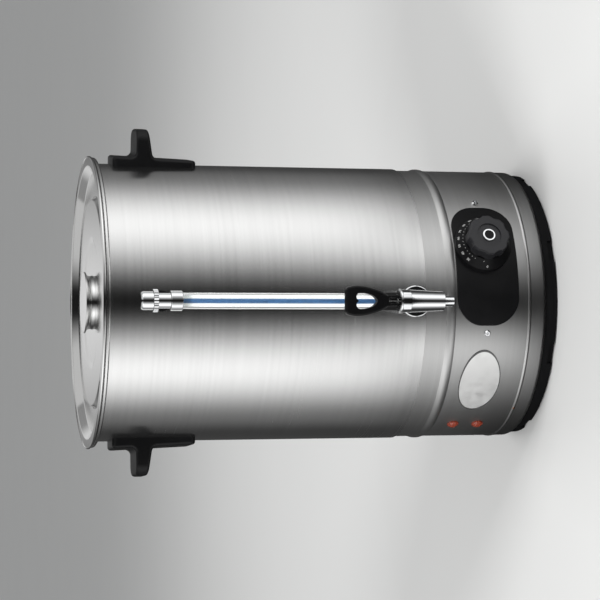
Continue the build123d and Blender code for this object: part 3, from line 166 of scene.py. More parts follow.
def tent_finish():
    """Cloth lit from outside, with a soft glow on each side of the urn."""
    finish = new_finish("tent_cloth")
    finish.node_tree.nodes.clear()
    place = add_node(finish, "NewGeometry").outputs["Position"]
    parts = add_node(finish, "SeparateXYZ", {0: place}).outputs
    backwards = maths(finish, "MULTIPLY", parts["Y"], -1.0)
    azimuth = maths(finish, "ABSOLUTE", maths(finish, "ARCTAN2", parts["X"], backwards))
    skew = maths(finish, "MULTIPLY", maths(finish, "SIGN", parts["X"]), tent_skew)
    reach = maths(finish, "ADD", skew, tent_lobe)
    laid = maths(finish, "LESS_THAN", parts["Z"], cloth_laid_below)
    narrower = maths(finish, "ADD", maths(finish, "MULTIPLY", laid, cloth_narrower), 1.0)
    share = maths(finish, "MULTIPLY", maths(finish, "DIVIDE", azimuth, reach), narrower)
    phase = maths(finish, "MINIMUM", maths(finish, "MULTIPLY", share, pi), pi)
    glow = maths(finish, "POWER", maths(finish, "SINE", phase), tent_edge)
    glow = maths(finish, "MULTIPLY", glow, tent_peak)
    tail_phase = add_node(finish, "MapRange", {
        "Value": share, "From Min": tail_start, "From Max": tail_end, "To Max": pi}).outputs[0]
    tail = maths(finish, "POWER", maths(finish, "SINE", tail_phase), 2.0)
    tail = maths(finish, "MULTIPLY", tail, tent_tail)
    glow = maths(finish, "ADD", glow, tail)
    aside = add_node(finish, "MapRange", {
        "Value": azimuth, "From Min": edge_start, "From Max": edge_full,
        "To Min": tent_dark_level, "To Max": tent_edge_level}).outputs[0]
    rear_phase = add_node(finish, "MapRange", {
        "Value": azimuth, "From Min": tent_back_lobe, "From Max": pi, "To Max": pi / 2}).outputs[0]
    rear = maths(finish, "POWER", maths(finish, "SINE", rear_phase), 2.0)
    rear = maths(finish, "MULTIPLY", rear, tent_back_level)
    behind = add_node(finish, "MapRange", {
        "Value": azimuth, "From Min": high_behind_start, "From Max": high_behind_full}).outputs[0]
    above = add_node(finish, "MapRange", {
        "Value": parts["Z"], "From Min": tent_high_start,
        "From Max": tent_high_start + tent_high_fade}).outputs[0]
    aside_of_middle = maths(finish, "ABSOLUTE", parts["X"])
    uneven = add_node(finish, "MapRange", {
        "Value": aside_of_middle, "From Min": high_middle_edge, "From Max": high_middle_end,
        "To Min": high_middle_level, "To Max": 1.0}).outputs[0]
    high = maths(finish, "MULTIPLY", maths(finish, "MULTIPLY", behind, above), tent_high_level)
    high = maths(finish, "MULTIPLY", high, uneven)
    upright = maths(finish, "MAXIMUM", maths(finish, "ADD", glow, maths(finish, "ADD", rear, aside)), high)
    flat = add_node(finish, "CombineXYZ", {"X": parts["X"], "Y": parts["Y"]}).outputs[0]
    reach_out = add_node(finish, "VectorMath", {0: flat}, operation="LENGTH").outputs["Value"]
    fade = add_node(finish, "MapRange", {
        "Value": reach_out, "From Min": cloth_fade_in, "From Max": cloth_full,
        "To Max": cloth_floor_level}, interpolation_type="SMOOTHSTEP").outputs[0]
    roof = maths(finish, "GREATER_THAN", parts["Z"], tent_top)
    panels = add_node(finish, "MapRange", {
        "Value": aside_of_middle, "From Min": roof_gap, "From Max": roof_edge,
        "To Min": tent_dark_level, "To Max": roof_level}, interpolation_type="SMOOTHSTEP").outputs[0]
    on_floor = maths(finish, "MULTIPLY", upright, fade)
    low_down = add_node(finish, "MapRange", {
        "Value": parts["Z"], "From Max": low_fade, "To Min": low_level, "To Max": 1.0}).outputs[0]
    upright = maths(finish, "MULTIPLY", upright, low_down)
    level = add_node(finish, "Mix", {0: laid, 2: upright, 3: on_floor}).outputs[0]
    level = add_node(finish, "Mix", {0: roof, 2: level, 3: panels}).outputs[0]
    cloth = add_node(finish, "Emission", {"Strength": level})
    add_node(finish, "OutputMaterial", {"Surface": cloth.outputs[0]})
    return finish


builder = bmesh.new()
bmesh.ops.create_circle(builder, cap_ends=True, radius=floor_reach, segments=96)
floor = bpy.data.objects.new("floor", finished_mesh("floor", builder))
floor.data.materials.append(floor_finish())
scene.collection.objects.link(floor)

builder = bmesh.new()
bmesh.ops.create_cone(builder, cap_ends=True, segments=128, radius1=tent_radius, radius2=tent_radius,
                      depth=tent_top)
tent = bpy.data.objects.new("light_tent", finished_mesh("light_tent", builder))
tent.location.z = tent_top / 2 + tent_lift
tent.data.materials.append(tent_finish())
scene.collection.objects.link(tent)
for sight in ("camera", "diffuse", "transmission", "volume_scatter", "shadow"):
    setattr(tent, "visible_" + sight, False)


lamp_aim = Vector((0, 0, 0.2))


def soft_lamp(name, place, size, power):
    """A square soft lamp that looks at the urn, a little below its middle."""
    lamp = bpy.data.objects.new(name, bpy.data.lights.new(name, "AREA"))
    lamp.data.size = size
    lamp.data.energy = power
    lamp.location = place
    lamp.visible_glossy = False
    lamp.rotation_euler = (lamp_aim - lamp.location).to_track_quat("-Z", "Y").to_euler()
    scene.collection.objects.link(lamp)


soft_lamp("lamp_left", (-1.5, -1.4, 1.7), 1.0, 33.0)
soft_lamp("lamp_right", (1.5, -1.4, 1.7), 1.0, 33.0)
soft_lamp("lamp_back", (0.0, 1.6, 2.0), 0.9, 15.0)

world = bpy.data.worlds.new("room")
scene.world = world
world.use_nodes = True
world.node_tree.nodes.clear()
rays = add_node(world, "LightPath").outputs
bent = maths(world, "MAXIMUM", rays["Is Glossy Ray"], rays["Is Transmission Ray"])
seen = maths(world, "MAXIMUM", rays["Is Camera Ray"], bent)
strength = add_node(world, "MapRange", {"Value": seen, "To Min": room_light, "To Max": 1.0}).outputs[0]
room = add_node(world, "Background", {"Color": room_tone, "Strength": strength})
add_node(world, "OutputWorld", {"Surface": room.outputs[0]})

# ---------------------------------------------------------------- foot ring and base tray
# The urn stands on a moulded rubber ring let into a black plastic tray. The tray is an injection moulding
# with a fine spark-eroded skin, and it closes the base from below.
crease_angle = radians(35)


def rounded_look(piece):
    """Shade a piece smooth, with a crease wherever two faces meet sharply."""
    piece.data.shade_smooth()
    piece.data.set_sharp_from_angle(angle=crease_angle)
    return piece


def coat(node, finish):
    """Give a sub-part of the frame its finish."""
    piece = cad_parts[node]
    piece.data.materials.clear()
    piece.data.materials.append(finish)
    return rounded_look(piece)


def moulded_finish(name, tone, roughness, grain=0.00006, grain_size=0.0007, scuffs=0.12, gleam=0.3):
    """Moulded plastic or rubber: a fine skin, slightly uneven gloss, and faint rubbed patches."""
    finish = new_finish(name)
    links = finish.node_tree.links
    shader = finish.node_tree.nodes["Principled BSDF"]
    place = add_node(finish, "TexCoord").outputs["Object"]
    skin = add_node(finish, "TexNoise", {
        "Vector": place, "Scale": 1 / grain_size, "Detail": 2.0, "Roughness": 0.6}).outputs["Fac"]
    wear = add_node(finish, "TexNoise", {
        "Vector": place, "Scale": 22.0, "Detail": 5.0, "Roughness": 0.62}).outputs["Fac"]
    rubbed = add_node(finish, "MapRange", {"Value": wear, "From Min": 0.5, "From Max": 0.72}).outputs[0]
    lighter = tuple(min(1.0, part * 1.4 + 0.002) for part in tone) + (1,)
    share = maths(finish, "MULTIPLY", rubbed, 0.5)
    shader.inputs["Specular IOR Level"].default_value = gleam
    links.new(mixed_colour(finish, share, tone + (1,), lighter), shader.inputs["Base Color"])
    gloss = add_node(finish, "MapRange", {
        "Value": wear, "From Min": 0.3, "From Max": 0.75,
        "To Min": roughness - scuffs / 2, "To Max": roughness + scuffs}).outputs[0]
    links.new(gloss, shader.inputs["Roughness"])
    bump = add_node(finish, "Bump", {"Height": skin, "Strength": 0.5, "Distance": grain})
    links.new(bump.outputs[0], shader.inputs["Normal"])
    return finish


rubber_black = moulded_finish("rubber_black", (0.012, 0.012, 0.0125), 0.66, 0.0001, 0.0006)
plastic_black = moulded_finish("plastic_black", (0.006, 0.006, 0.0065), 0.5, 0.00008, 0.0005, gleam=0.15)
coat("foot_ring", rubber_black)
coat("base_tray", plastic_black)

# ---------------------------------------------------------------- base skirt
# A band of thin stainless sheet, brushed round the urn and rolled in at its foot. A wide bead and a narrow
# one are rolled into it, and its top edge slips up inside the tank's hanging edge.
skirt_low, skirt_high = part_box("base_skirt")
sheet_wall = 0.001
upper_bead_proud = 0.0018
upper_bead_half = 0.0055
upper_bead_z = 0.1195
lower_bead_proud = 0.0009
lower_bead_half = 0.0018
lower_bead_z = 0.033
skirt_corner = 0.004
skirt_flange = 0.013
skirt_radius = skirt_high.x - upper_bead_proud


def drawn_round(finish, pull):
    """Bare metal worked round the urn's axis, which draws its highlights out up and down."""
    shader = finish.node_tree.nodes["Principled BSDF"]
    shader.inputs["Metallic"].default_value = 1.0
    shader.inputs["Anisotropic"].default_value = pull
    shader.inputs["Anisotropic Rotation"].default_value = 0.25
    around = add_node(finish, "Tangent", direction_type="RADIAL", axis="Z")
    finish.node_tree.links.new(around.outputs[0], shader.inputs["Tangent"])


def steel_finish(name, tone, roughness, line_depth, pull, lines=(9.0, 9.0, 1500.0), cloudiness=0.1):
    """Stainless sheet brushed round the urn: fine level lines and slow cloudy wear."""
    finish = new_finish(name)
    links = finish.node_tree.links
    shader = finish.node_tree.nodes["Principled BSDF"]
    place = add_node(finish, "TexCoord").outputs["Object"]
    drawn = add_node(finish, "Mapping", {"Vector": place, "Scale": lines}).outputs[0]
    fine = add_node(finish, "TexNoise", {
        "Vector": drawn, "Scale": 1.0, "Detail": 4.0, "Roughness": 0.7}).outputs["Fac"]
    broad_scale = (lines[0] * 0.35, lines[1] * 0.35, lines[2] * 0.16)
    broad = add_node(finish, "TexNoise", {
        "Vector": add_node(finish, "Mapping", {"Vector": place, "Scale": broad_scale}).outputs[0],
        "Scale": 1.0, "Detail": 3.0, "Roughness": 0.6}).outputs["Fac"]
    clouds = add_node(finish, "TexNoise", {
        "Vector": place, "Scale": 7.0, "Detail": 4.0, "Roughness": 0.55}).outputs["Fac"]
    grain = maths(finish, "ADD", maths(finish, "MULTIPLY", fine, 0.4), maths(finish, "MULTIPLY", broad, 0.6))
    darker = tuple(part * 0.78 for part in tone) + (1,)
    links.new(mixed_colour(finish, grain, darker, tone + (1,)), shader.inputs["Base Color"])
    uneven = maths(finish, "MULTIPLY", grain, 0.6)
    uneven = maths(finish, "ADD", uneven, maths(finish, "MULTIPLY", clouds, 0.4))
    gloss = add_node(finish, "MapRange", {
        "Value": uneven, "From Min": 0.3, "From Max": 0.7,
        "To Min": roughness - cloudiness / 2, "To Max": roughness + cloudiness / 2}).outputs[0]
    links.new(gloss, shader.inputs["Roughness"])
    bump = add_node(finish, "Bump", {"Height": grain, "Strength": 0.5, "Distance": line_depth})
    links.new(bump.outputs[0], shader.inputs["Normal"])
    drawn_round(finish, pull)
    return finish


def softened(corners, steps=5):
    """An outline with its corners rounded; a corner is across, up, and the radius of its rounding."""
    points = []
    for i, (across, up, radius) in enumerate(corners):
        here = Vector((across, up))
        if radius == 0:
            points.append(here)
            continue
        back = (Vector(corners[i - 1][:2]) - here).normalized()
        ahead = (Vector(corners[(i + 1) % len(corners)][:2]) - here).normalized()
        half = back.angle(ahead) / 2
        centre = here + (back + ahead).normalized() * (radius / sin(half))
        start = here + back * (radius / tan(half)) - centre
        end = here + ahead * (radius / tan(half)) - centre
        first = atan2(start.y, start.x)
        turn = (atan2(end.y, end.x) - first + pi) % (2 * pi) - pi
        for k in range(steps + 1):
            angle = first + turn * k / steps
            points.append(centre + Vector((cos(angle), sin(angle))) * radius)
    return points


def arc(centre, radius, start, end, steps):
    """Points on a round stretch of an outline, between two angles in degrees."""
    angles = [radians(start + (end - start) * k / steps) for k in range(steps + 1)]
    return [Vector((centre[0] + radius * cos(a), centre[1] + radius * sin(a))) for a in angles]


def turned_mesh(name, outline, sides, y=0.0, ripple=None):
    """An outline of (radius, height) turned about an upright axis; ripple(angle, radius) scales it."""
    builder = bmesh.new()
    rings = []
    for radius, height in outline:
        if radius < 1e-6:
            rings.append([builder.verts.new((0.0, y, height))])
            continue
        ring = []
        for k in range(sides):
            angle = 2 * pi * k / sides
            reach = radius * (ripple(angle, radius) if ripple else 1.0)
            ring.append(builder.verts.new((reach * cos(angle), y + reach * sin(angle), height)))
        rings.append(ring)
    for lower, upper in zip(rings, rings[1:] + rings[:1]):
        for k in range(sides):
            following = (k + 1) % sides
            corners = [lower[k % len(lower)], lower[following % len(lower)],
                       upper[following % len(upper)], upper[k % len(upper)]]
            corners = list(dict.fromkeys(corners))
            if len(corners) > 2:
                builder.faces.new(corners)
    bmesh.ops.recalc_face_normals(builder, faces=builder.faces)
    return finished_mesh(name, builder)


def add_piece(mesh, body, slot, finish, *stood_for):
    """Put a piece on the urn: its finish, the body that carries it, and the sub-parts that it stands for."""
    piece = bpy.data.objects.new(mesh.name, mesh)
    scene.collection.objects.link(piece)
    mesh.materials.append(finish)
    rounded_look(piece)
    flat_first = piece.modifiers.new("even_faces", "WEIGHTED_NORMAL")
    flat_first.keep_sharp = True
    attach(piece, body)
    if stood_for:
        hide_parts(*stood_for)
    return piece


def bead_points(radius, middle, half_height, proud, steps):
    """Outline of a bead rolled outwards, from its lower edge to its upper one."""
    bulge = (half_height ** 2 + proud ** 2) / (2 * proud)
    spread = degrees(atan2(half_height, bulge - proud))
    return arc((radius + proud - bulge, middle), bulge, -spread, spread, steps)


mouth_low, mouth_high = 0.046, 0.072
mouth_half_width = 0.0175
# The skirt's steel has a darker tone than the tank's: painted shade, standing in for the darker reflections
# on the lower band.
skirt_steel_painted_shade = steel_finish("skirt_steel_painted_shade", (0.58, 0.58, 0.575), 0.4, 0.00002, 0.6)
corner_centre = (skirt_radius - skirt_corner, skirt_low.z + skirt_corner)
skirt_outline = [Vector((skirt_radius - skirt_flange, skirt_low.z))]
skirt_outline += arc(corner_centre, skirt_corner, -90, 0, 8)
skirt_outline += bead_points(skirt_radius, lower_bead_z, lower_bead_half, lower_bead_proud, 8)
skirt_outline += [Vector((skirt_radius, mouth_low)), Vector((skirt_radius, mouth_high))]
skirt_outline += bead_points(skirt_radius, upper_bead_z, upper_bead_half, upper_bead_proud, 12)
skirt_outline += [Vector((skirt_radius, skirt_high.z))]
skirt_outline += [Vector((skirt_radius - sheet_wall, z)) for z in (skirt_high.z, mouth_high, mouth_low)]
skirt_outline += arc(corner_centre, skirt_corner - sheet_wall, 0, -90, 6)
skirt_outline += [Vector((skirt_radius - skirt_flange, skirt_low.z + sheet_wall))]
skirt_mesh = turned_mesh("skirt", skirt_outline, 256)
builder = bmesh.new()
builder.from_mesh(skirt_mesh)
mouth_faces = []
for face in builder.faces:
    middle = face.calc_center_median()
    if middle.y > 0 and abs(middle.x) < mouth_half_width and mouth_low < middle.z < mouth_high:
        mouth_faces.append(face)
bmesh.ops.delete(builder, geom=mouth_faces, context="FACES")
bmesh.ops.bridge_loops(builder, edges=[edge for edge in builder.edges if edge.is_boundary])
bmesh.ops.recalc_face_normals(builder, faces=builder.faces)
builder.to_mesh(skirt_mesh)
builder.free()
add_piece(skirt_mesh, "urn", "brushed_steel", skirt_steel_painted_shade, "base_skirt")

# ---------------------------------------------------------------- tank
# A cylinder of stainless sheet, seam-welded and brushed round, with its top edge rolled outwards into a tube.
# The floor is welded in a little above its lower edge.
tank_low, tank_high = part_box("tank")
rim_overhang = 0.0065
rim_tube = 0.0024
rim_foot_drop = 0.0032
rim_lip = 0.0006
tank_radius = tank_high.x - rim_overhang
tank_steel = steel_finish("tank_steel", (0.66, 0.66, 0.655), 0.24, 0.000014, 0.8)
rim_centre = (tank_high.x - rim_tube, tank_high.z - rim_tube)
tank_outline = [Vector((tank_radius - sheet_wall, tank_low.z)), Vector((tank_radius, tank_low.z))]
tank_outline += [Vector((tank_radius, tank_high.z - rim_foot_drop))]
tank_outline += arc(rim_centre, rim_tube, -150, 90, 14)
tank_outline += [Vector((tank_radius - sheet_wall + rim_lip, tank_high.z)),
                 Vector((tank_radius - sheet_wall, tank_high.z - rim_lip))]
add_piece(turned_mesh("tank_wall", tank_outline, 256), "urn", "brushed_steel", tank_steel, "tank")
coat("tank_floor", tank_steel)

# ---------------------------------------------------------------- lid
# Pressed from stainless sheet: a hemmed edge, a flat ring on the tank's rim, a sloping wall down to a groove,
# and a raised disc with a shallow dish. It is spun bright, so its lines run round it.
lid_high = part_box("lid_pan")[1]
lid_radius = lid_high.x
lid_top = lid_high.z
lid_hem = 0.0015


def spun_finish(name, tone, roughness, ring_pitch, ring_depth, pull):
    """Spun bright metal: faint rings about the urn's axis, and slight cloudiness."""
    finish = new_finish(name)
    links = finish.node_tree.links
    shader = finish.node_tree.nodes["Principled BSDF"]
    place = add_node(finish, "TexCoord").outputs["Object"]
    parts = add_node(finish, "SeparateXYZ", {0: place}).outputs
    level = add_node(finish, "CombineXYZ", {"X": parts["X"], "Y": parts["Y"]}).outputs[0]
    reach = add_node(finish, "VectorMath", {0: level}, operation="LENGTH").outputs["Value"]
    along = maths(finish, "ADD", reach, parts["Z"])
    rings = add_node(finish, "TexNoise", {"W": along, "Scale": 1 / ring_pitch, "Detail": 3.0},
                     noise_dimensions="1D").outputs["Fac"]
    clouds = add_node(finish, "TexNoise", {
        "Vector": place, "Scale": 14.0, "Detail": 5.0, "Roughness": 0.6}).outputs["Fac"]
    darker = tuple(part * 0.9 for part in tone) + (1,)
    links.new(mixed_colour(finish, rings, darker, tone + (1,)), shader.inputs["Base Color"])
    mixed = maths(finish, "MULTIPLY", rings, 0.5)
    mixed = maths(finish, "ADD", mixed, maths(finish, "MULTIPLY", clouds, 0.5))
    gloss = add_node(finish, "MapRange", {
        "Value": mixed, "From Min": 0.3, "From Max": 0.7,
        "To Min": roughness * 0.7, "To Max": roughness * 1.3}).outputs[0]
    links.new(gloss, shader.inputs["Roughness"])
    bump = add_node(finish, "Bump", {"Height": rings, "Strength": 0.4, "Distance": ring_depth})
    links.new(bump.outputs[0], shader.inputs["Normal"])
    drawn_round(finish, pull)
    return finish


lid_steel = spun_finish("lid_steel", (0.68, 0.68, 0.675), 0.11, 0.0011, 0.00001, 0.3)
dish_drop, disc_drop, edge_drop = 0.0068, 0.0056, 0.0006
upper_side = softened([
    (0, lid_top - dish_drop, 0), (0.0648, lid_top - dish_drop, 0.008), (0.0712, lid_top - disc_drop, 0.008),
    (0.111, lid_top - disc_drop, 0.0018), (0.1145, lid_top - 0.0096, 0.0016),
    (0.1406, lid_top - 0.0081, 0.0022), (0.1476, lid_top - edge_drop, 0.0014),
    (lid_radius - lid_hem, lid_top - edge_drop, 0)])
lower_side = [Vector((point.x, point.y - sheet_wall)) for point in reversed(upper_side)]
hem = arc((lid_radius - lid_hem, lid_top - lid_hem), lid_hem, 80, -80, 12)
lid_mesh = turned_mesh("lid", upper_side + hem + lower_side, 256)
add_piece(lid_mesh, "lid", "polished_steel", lid_steel, "lid_pan")

# ---------------------------------------------------------------- lid knob
# A hollow knob spun from stainless sheet, with a pinched neck and a flared flat top. A screw from below the
# lid holds it, over a rubber washer.
knob_low, knob_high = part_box("lid_knob")
knob_top_radius = knob_high.x
knob_corners = [
    (0.0296, knob_low.z, 0.0003), (0.0286, knob_low.z + 0.0037, 0.004), (0.0291, knob_low.z + 0.0063, 0.005),
    (knob_top_radius, knob_high.z - 0.0017, 0.0006), (knob_top_radius, knob_high.z, 0.0009),
    (0.026, knob_high.z, 0.01), (0, knob_high.z - 0.0005, 0),
]
inner_side = [
    (0, knob_high.z - 0.0016, 0), (0.0276, knob_high.z - 0.0026, 0.0004),
    (0.0276, knob_low.z + 0.0037, 0), (0.0286, knob_low.z, 0),
]


def plated_finish(name, tone, roughness, cloud_size, pitting=0.000002):
    """Plated or bare metal: smeared gloss, a slight change of tone, and faint pits."""
    finish = new_finish(name)
    links = finish.node_tree.links
    shader = finish.node_tree.nodes["Principled BSDF"]
    place = add_node(finish, "TexCoord").outputs["Object"]
    clouds = add_node(finish, "TexNoise", {
        "Vector": place, "Scale": 1 / cloud_size, "Detail": 5.0, "Roughness": 0.6}).outputs["Fac"]
    pits = add_node(finish, "TexNoise", {"Vector": place, "Scale": 1400.0, "Detail": 2.0}).outputs["Fac"]
    darker = tuple(part * 0.88 for part in tone) + (1,)
    links.new(mixed_colour(finish, clouds, darker, tone + (1,)), shader.inputs["Base Color"])
    gloss = add_node(finish, "MapRange", {
        "Value": clouds, "From Min": 0.35, "From Max": 0.7,
        "To Min": roughness * 0.7, "To Max": roughness * 1.5}).outputs[0]
    links.new(gloss, shader.inputs["Roughness"])
    bump = add_node(finish, "Bump", {"Height": pits, "Strength": 0.5, "Distance": pitting})
    links.new(bump.outputs[0], shader.inputs["Normal"])
    shader.inputs["Metallic"].default_value = 1.0
    return finish


knob_mesh = turned_mesh("lid_knob_shell", softened(knob_corners + inner_side), 160)
add_piece(knob_mesh, "lid", "polished_steel", lid_steel, "lid_knob")
seal_rubber = moulded_finish("seal_rubber", (0.16, 0.15, 0.14), 0.6)
coat("lid_knob_washer", seal_rubber)

zinc_plate = plated_finish("zinc_plate", (0.58, 0.59, 0.60), 0.36, 0.004)
coat("lid_knob_screw", zinc_plate)

# ---------------------------------------------------------------- side handles
# Two black phenolic mouldings, each a plate on the tank's wall and a grip, their gloss dulled by use. Two
# countersunk screws hold each one, with rubber washers and cap nuts inside the tank.
handle_azimuth = 83.5
handle_screw_seats = ((0.15540, 0.3925), (0.157717, 0.4500))
handle_screw_rise = 0.0022
phenolic = moulded_finish("phenolic_black", (0.005, 0.005, 0.0054), 0.36, 0.00002, 0.002, 0.1, 0.16)


def facing(azimuth, reach, height, aside=0.0):
    """Where a part on the wall sits: its own Z points away from the urn at that azimuth."""
    angle = radians(azimuth)
    outward = Vector((sin(angle), -cos(angle), 0))
    beside = Vector((cos(angle), sin(angle), 0))
    seat = outward * reach + beside * aside + Vector((0, 0, height))
    turn = Matrix((beside, Vector((0, 0, 1)), outward)).transposed()
    return Matrix.Translation(seat) @ turn.to_4x4()


def gathered(name, mesh, places):
    """One mesh made of a copy of another at each place."""
    builder = bmesh.new()
    for place in places:
        copy = mesh.copy()
        copy.transform(place)
        builder.from_mesh(copy)
        bpy.data.meshes.remove(copy)
    return finished_mesh(name, builder)


def screw_mesh(name, head, rise, dome, shank, length, drive):
    """A screw that points down its own -Z, seated at 0: a head with a cross recess, and a plain shank."""
    bottom = rise - drive
    outline = [(0, bottom, 0), (drive * 0.55, bottom, 0), (head * 0.62, rise, 0), (head * 0.7, rise, 0)]
    outline += [(head, rise - dome, dome * 0.6), (head, 0, 0), (shank, 0, 0), (shank, -length + 0.001, 0)]
    outline += [(shank * 0.6, -length, 0), (0, -length, 0)]

    def cross(angle, radius):
        if radius < head * 0.66 and radius != shank and radius != shank * 0.6:
            return 0.34 + 0.66 * abs(cos(2 * angle)) ** 5
        return 1.0
    return turned_mesh(name, softened(outline), 96, ripple=cross)


for node in ("handle_left", "handle_right"):
    coat(node, phenolic)
stainless = plated_finish("stainless_turned", (0.60, 0.60, 0.59), 0.22, 0.006)
handle_screw = screw_mesh("handle_screw", 0.0046, handle_screw_rise, 0.0006, 0.0025, 0.0095, 0.0018)
screw_places = [facing(side * handle_azimuth, reach - handle_screw_rise, height)
                for side in (-1, 1) for reach, height in handle_screw_seats]
handle_fixings = gathered("handle_fixings", handle_screw, screw_places)
add_piece(handle_fixings, "urn", "zinc_steel", stainless, "handle_screws")
coat("handle_washers", seal_rubber)
coat("handle_nuts", stainless)

# ---------------------------------------------------------------- tap
# Brass castings and turnings, polished and chrome plated. The gasket outside the wall and the lock nut inside
# it hold the tap, and the spring under the bonnet keeps its rubber cup on the seat.
chrome = plated_finish("chrome_plate", (0.80, 0.81, 0.82), 0.06, 0.012)
nickel = plated_finish("spring_steel", (0.5, 0.5, 0.5), 0.25, 0.003)
brass = plated_finish("turned_brass", (0.70, 0.49, 0.22), 0.26, 0.005)
cup_rubber = moulded_finish("cup_rubber", (0.35, 0.33, 0.30), 0.55)
for node in ("tap_body", "tap_nozzle", "lever_pin"):
    coat(node, chrome)
bonnet_low, bonnet_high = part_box("tap_bonnet")
tap_y = (bonnet_low.y + bonnet_high.y) / 2
bonnet_rim = bonnet_high.x
bonnet_bore, bonnet_chamber, bonnet_roof = 0.00225, 0.008, 0.003
grip_radius = bonnet_rim - 0.0006
bonnet_outline = softened([
    (bonnet_chamber, bonnet_low.z, 0), (grip_radius, bonnet_low.z, 0.0004),
    (grip_radius, bonnet_high.z - 0.0028, 0.0004), (bonnet_rim, bonnet_high.z - 0.0024, 0.0003),
    (bonnet_rim, bonnet_high.z - 0.0006, 0.0005), (bonnet_rim - 0.0016, bonnet_high.z, 0.0006),
    (bonnet_bore, bonnet_high.z, 0), (bonnet_bore, bonnet_high.z - bonnet_roof, 0),
    (bonnet_chamber, bonnet_high.z - bonnet_roof, 0)])


def gripped(angle, radius):
    """Twelve slight flats for a spanner, below the bonnet's rim."""
    below_rim = bonnet_chamber < radius < bonnet_rim - 0.0003
    return 1 - 0.02 * (0.5 + 0.5 * cos(12 * angle)) if below_rim else 1.0


ring_nut = turned_mesh("tap_ring_nut", bonnet_outline, 240, tap_y, gripped)
add_piece(ring_nut, "urn", "chrome_plate", chrome, "tap_bonnet")
coat("tap_stem", stainless)
coat("tap_spring", nickel)
coat("tap_seat_cup", cup_rubber)
coat("tap_gasket", seal_rubber)
coat("tap_locknut", brass)
lever_phenolic = moulded_finish("lever_phenolic", (0.004, 0.004, 0.0044), 0.3, 0.000015, 0.0025, 0.12, 0.2)
coat("tap_lever", lever_phenolic)

# ---------------------------------------------------------------- sight gauge
# A glass tube between a plated fitting above and a black sleeve below. Its back is enamelled white, with a
# blue stripe that carries fine marks. The collar under the cap is notched, to be turned by hand.
gauge_y = -0.170
glass_radius = 0.0079
glass_wall = 0.0018
enamel_low, enamel_high = 0.2023, 0.4082
stripe_depth, white_start, enamel_depth = 0.00014, 0.00016, 0.0003
towards_tank = 90.0
white_half_angle = 84.0
stripe_half_angle = 22.0
collar_low, collar_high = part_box("gauge_collar")
collar_radius = collar_high.x
collar_bore = 0.0061
collar_notched_from = 0.0105
collar_notches = 22
mark_pitch = 0.0012


def curved_strip(name, inner, outer, half_angle, steps=24):
    """An upright enamel strip with the curve of the tube, on its side towards the tank."""
    builder = bmesh.new()
    rows = []
    for k in range(steps + 1):
        angle = radians(towards_tank - half_angle + 2 * half_angle * k / steps)
        row = []
        for radius, height in ((inner, enamel_low), (outer, enamel_low),
                               (outer, enamel_high), (inner, enamel_high)):
            row.append(builder.verts.new((radius * cos(angle), gauge_y + radius * sin(angle), height)))
        rows.append(row)
    for row, following in zip(rows, rows[1:]):
        for k in range(4):
            builder.faces.new((row[k], row[(k + 1) % 4], following[(k + 1) % 4], following[k]))
    builder.faces.new(rows[0])
    builder.faces.new(rows[-1][::-1])
    bmesh.ops.recalc_face_normals(builder, faces=builder.faces)
    return finished_mesh(name, builder)


for node in ("gauge_cap", "gauge_tee"):
    coat(node, chrome)
coat("gauge_lower_nut", phenolic)
coat("gauge_locknut", brass)
coat("gauge_seals", seal_rubber)
glass = new_finish("gauge_glass")
glass_shader = glass.node_tree.nodes["Principled BSDF"]
glass_place = add_node(glass, "TexCoord").outputs["Object"]
smears = add_node(glass, "TexNoise", {"Vector": glass_place, "Scale": 60.0, "Detail": 4.0}).outputs["Fac"]
glass_gloss = add_node(glass, "MapRange", {"Value": smears, "To Max": 0.06}).outputs[0]
glass.node_tree.links.new(glass_gloss, glass_shader.inputs["Roughness"])
glass_shader.inputs["Base Color"].default_value = (0.97, 0.99, 0.985, 1)
glass_shader.inputs["Transmission Weight"].default_value = 1.0
glass_shader.inputs["IOR"].default_value = 1.47
tube_low, tube_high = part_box("gauge_glass")
tube_edge = 0.0003
tube_outline = softened([
    (glass_radius - glass_wall, tube_low.z, tube_edge), (glass_radius, tube_low.z, tube_edge),
    (glass_radius, tube_high.z, tube_edge), (glass_radius - glass_wall, tube_high.z, tube_edge)])
tube_mesh = turned_mesh("gauge_tube", tube_outline, 128, gauge_y)
tube = add_piece(tube_mesh, "urn", "glass", glass, "gauge_glass")
tube.visible_shadow = False
white_enamel = moulded_finish("white_enamel", (0.93, 0.93, 0.92), 0.3, 0.00001)
stripe_blue = (0.085, 0.21, 0.44)
mark_blue = (0.03, 0.07, 0.17, 1)
stripe_enamel = moulded_finish("blue_enamel", stripe_blue, 0.3, 0.00001)
stripe_shader = stripe_enamel.node_tree.nodes["Principled BSDF"]
stripe_parts = add_node(stripe_enamel, "SeparateXYZ", {
    0: add_node(stripe_enamel, "TexCoord").outputs["Object"]}).outputs
along = maths(stripe_enamel, "MULTIPLY", stripe_parts["Z"], 2 * pi / mark_pitch)
wave = maths(stripe_enamel, "SINE", along)
marked = add_node(stripe_enamel, "MapRange", {"Value": wave, "From Min": 0.55, "From Max": 0.9}).outputs[0]
stripe_enamel.node_tree.links.new(
    mixed_colour(stripe_enamel, marked, stripe_blue + (1,), mark_blue),
    stripe_shader.inputs["Base Color"])
white_back = curved_strip("gauge_white_back", glass_radius + white_start, glass_radius + enamel_depth,
                          white_half_angle)
white_strip = add_piece(white_back, "urn", "white_plastic", white_enamel)
blue_strip = curved_strip("gauge_blue_stripe", glass_radius, glass_radius + stripe_depth,
                          stripe_half_angle)
stripe = add_piece(blue_strip, "urn", "blue_enamel", stripe_enamel, "gauge_stripe")
collar_edge = 0.0006
collar_outline = softened([
    (collar_bore, collar_low.z, 0), (collar_radius, collar_low.z, collar_edge),
    (collar_radius, collar_high.z, collar_edge), (collar_bore, collar_high.z, 0)])


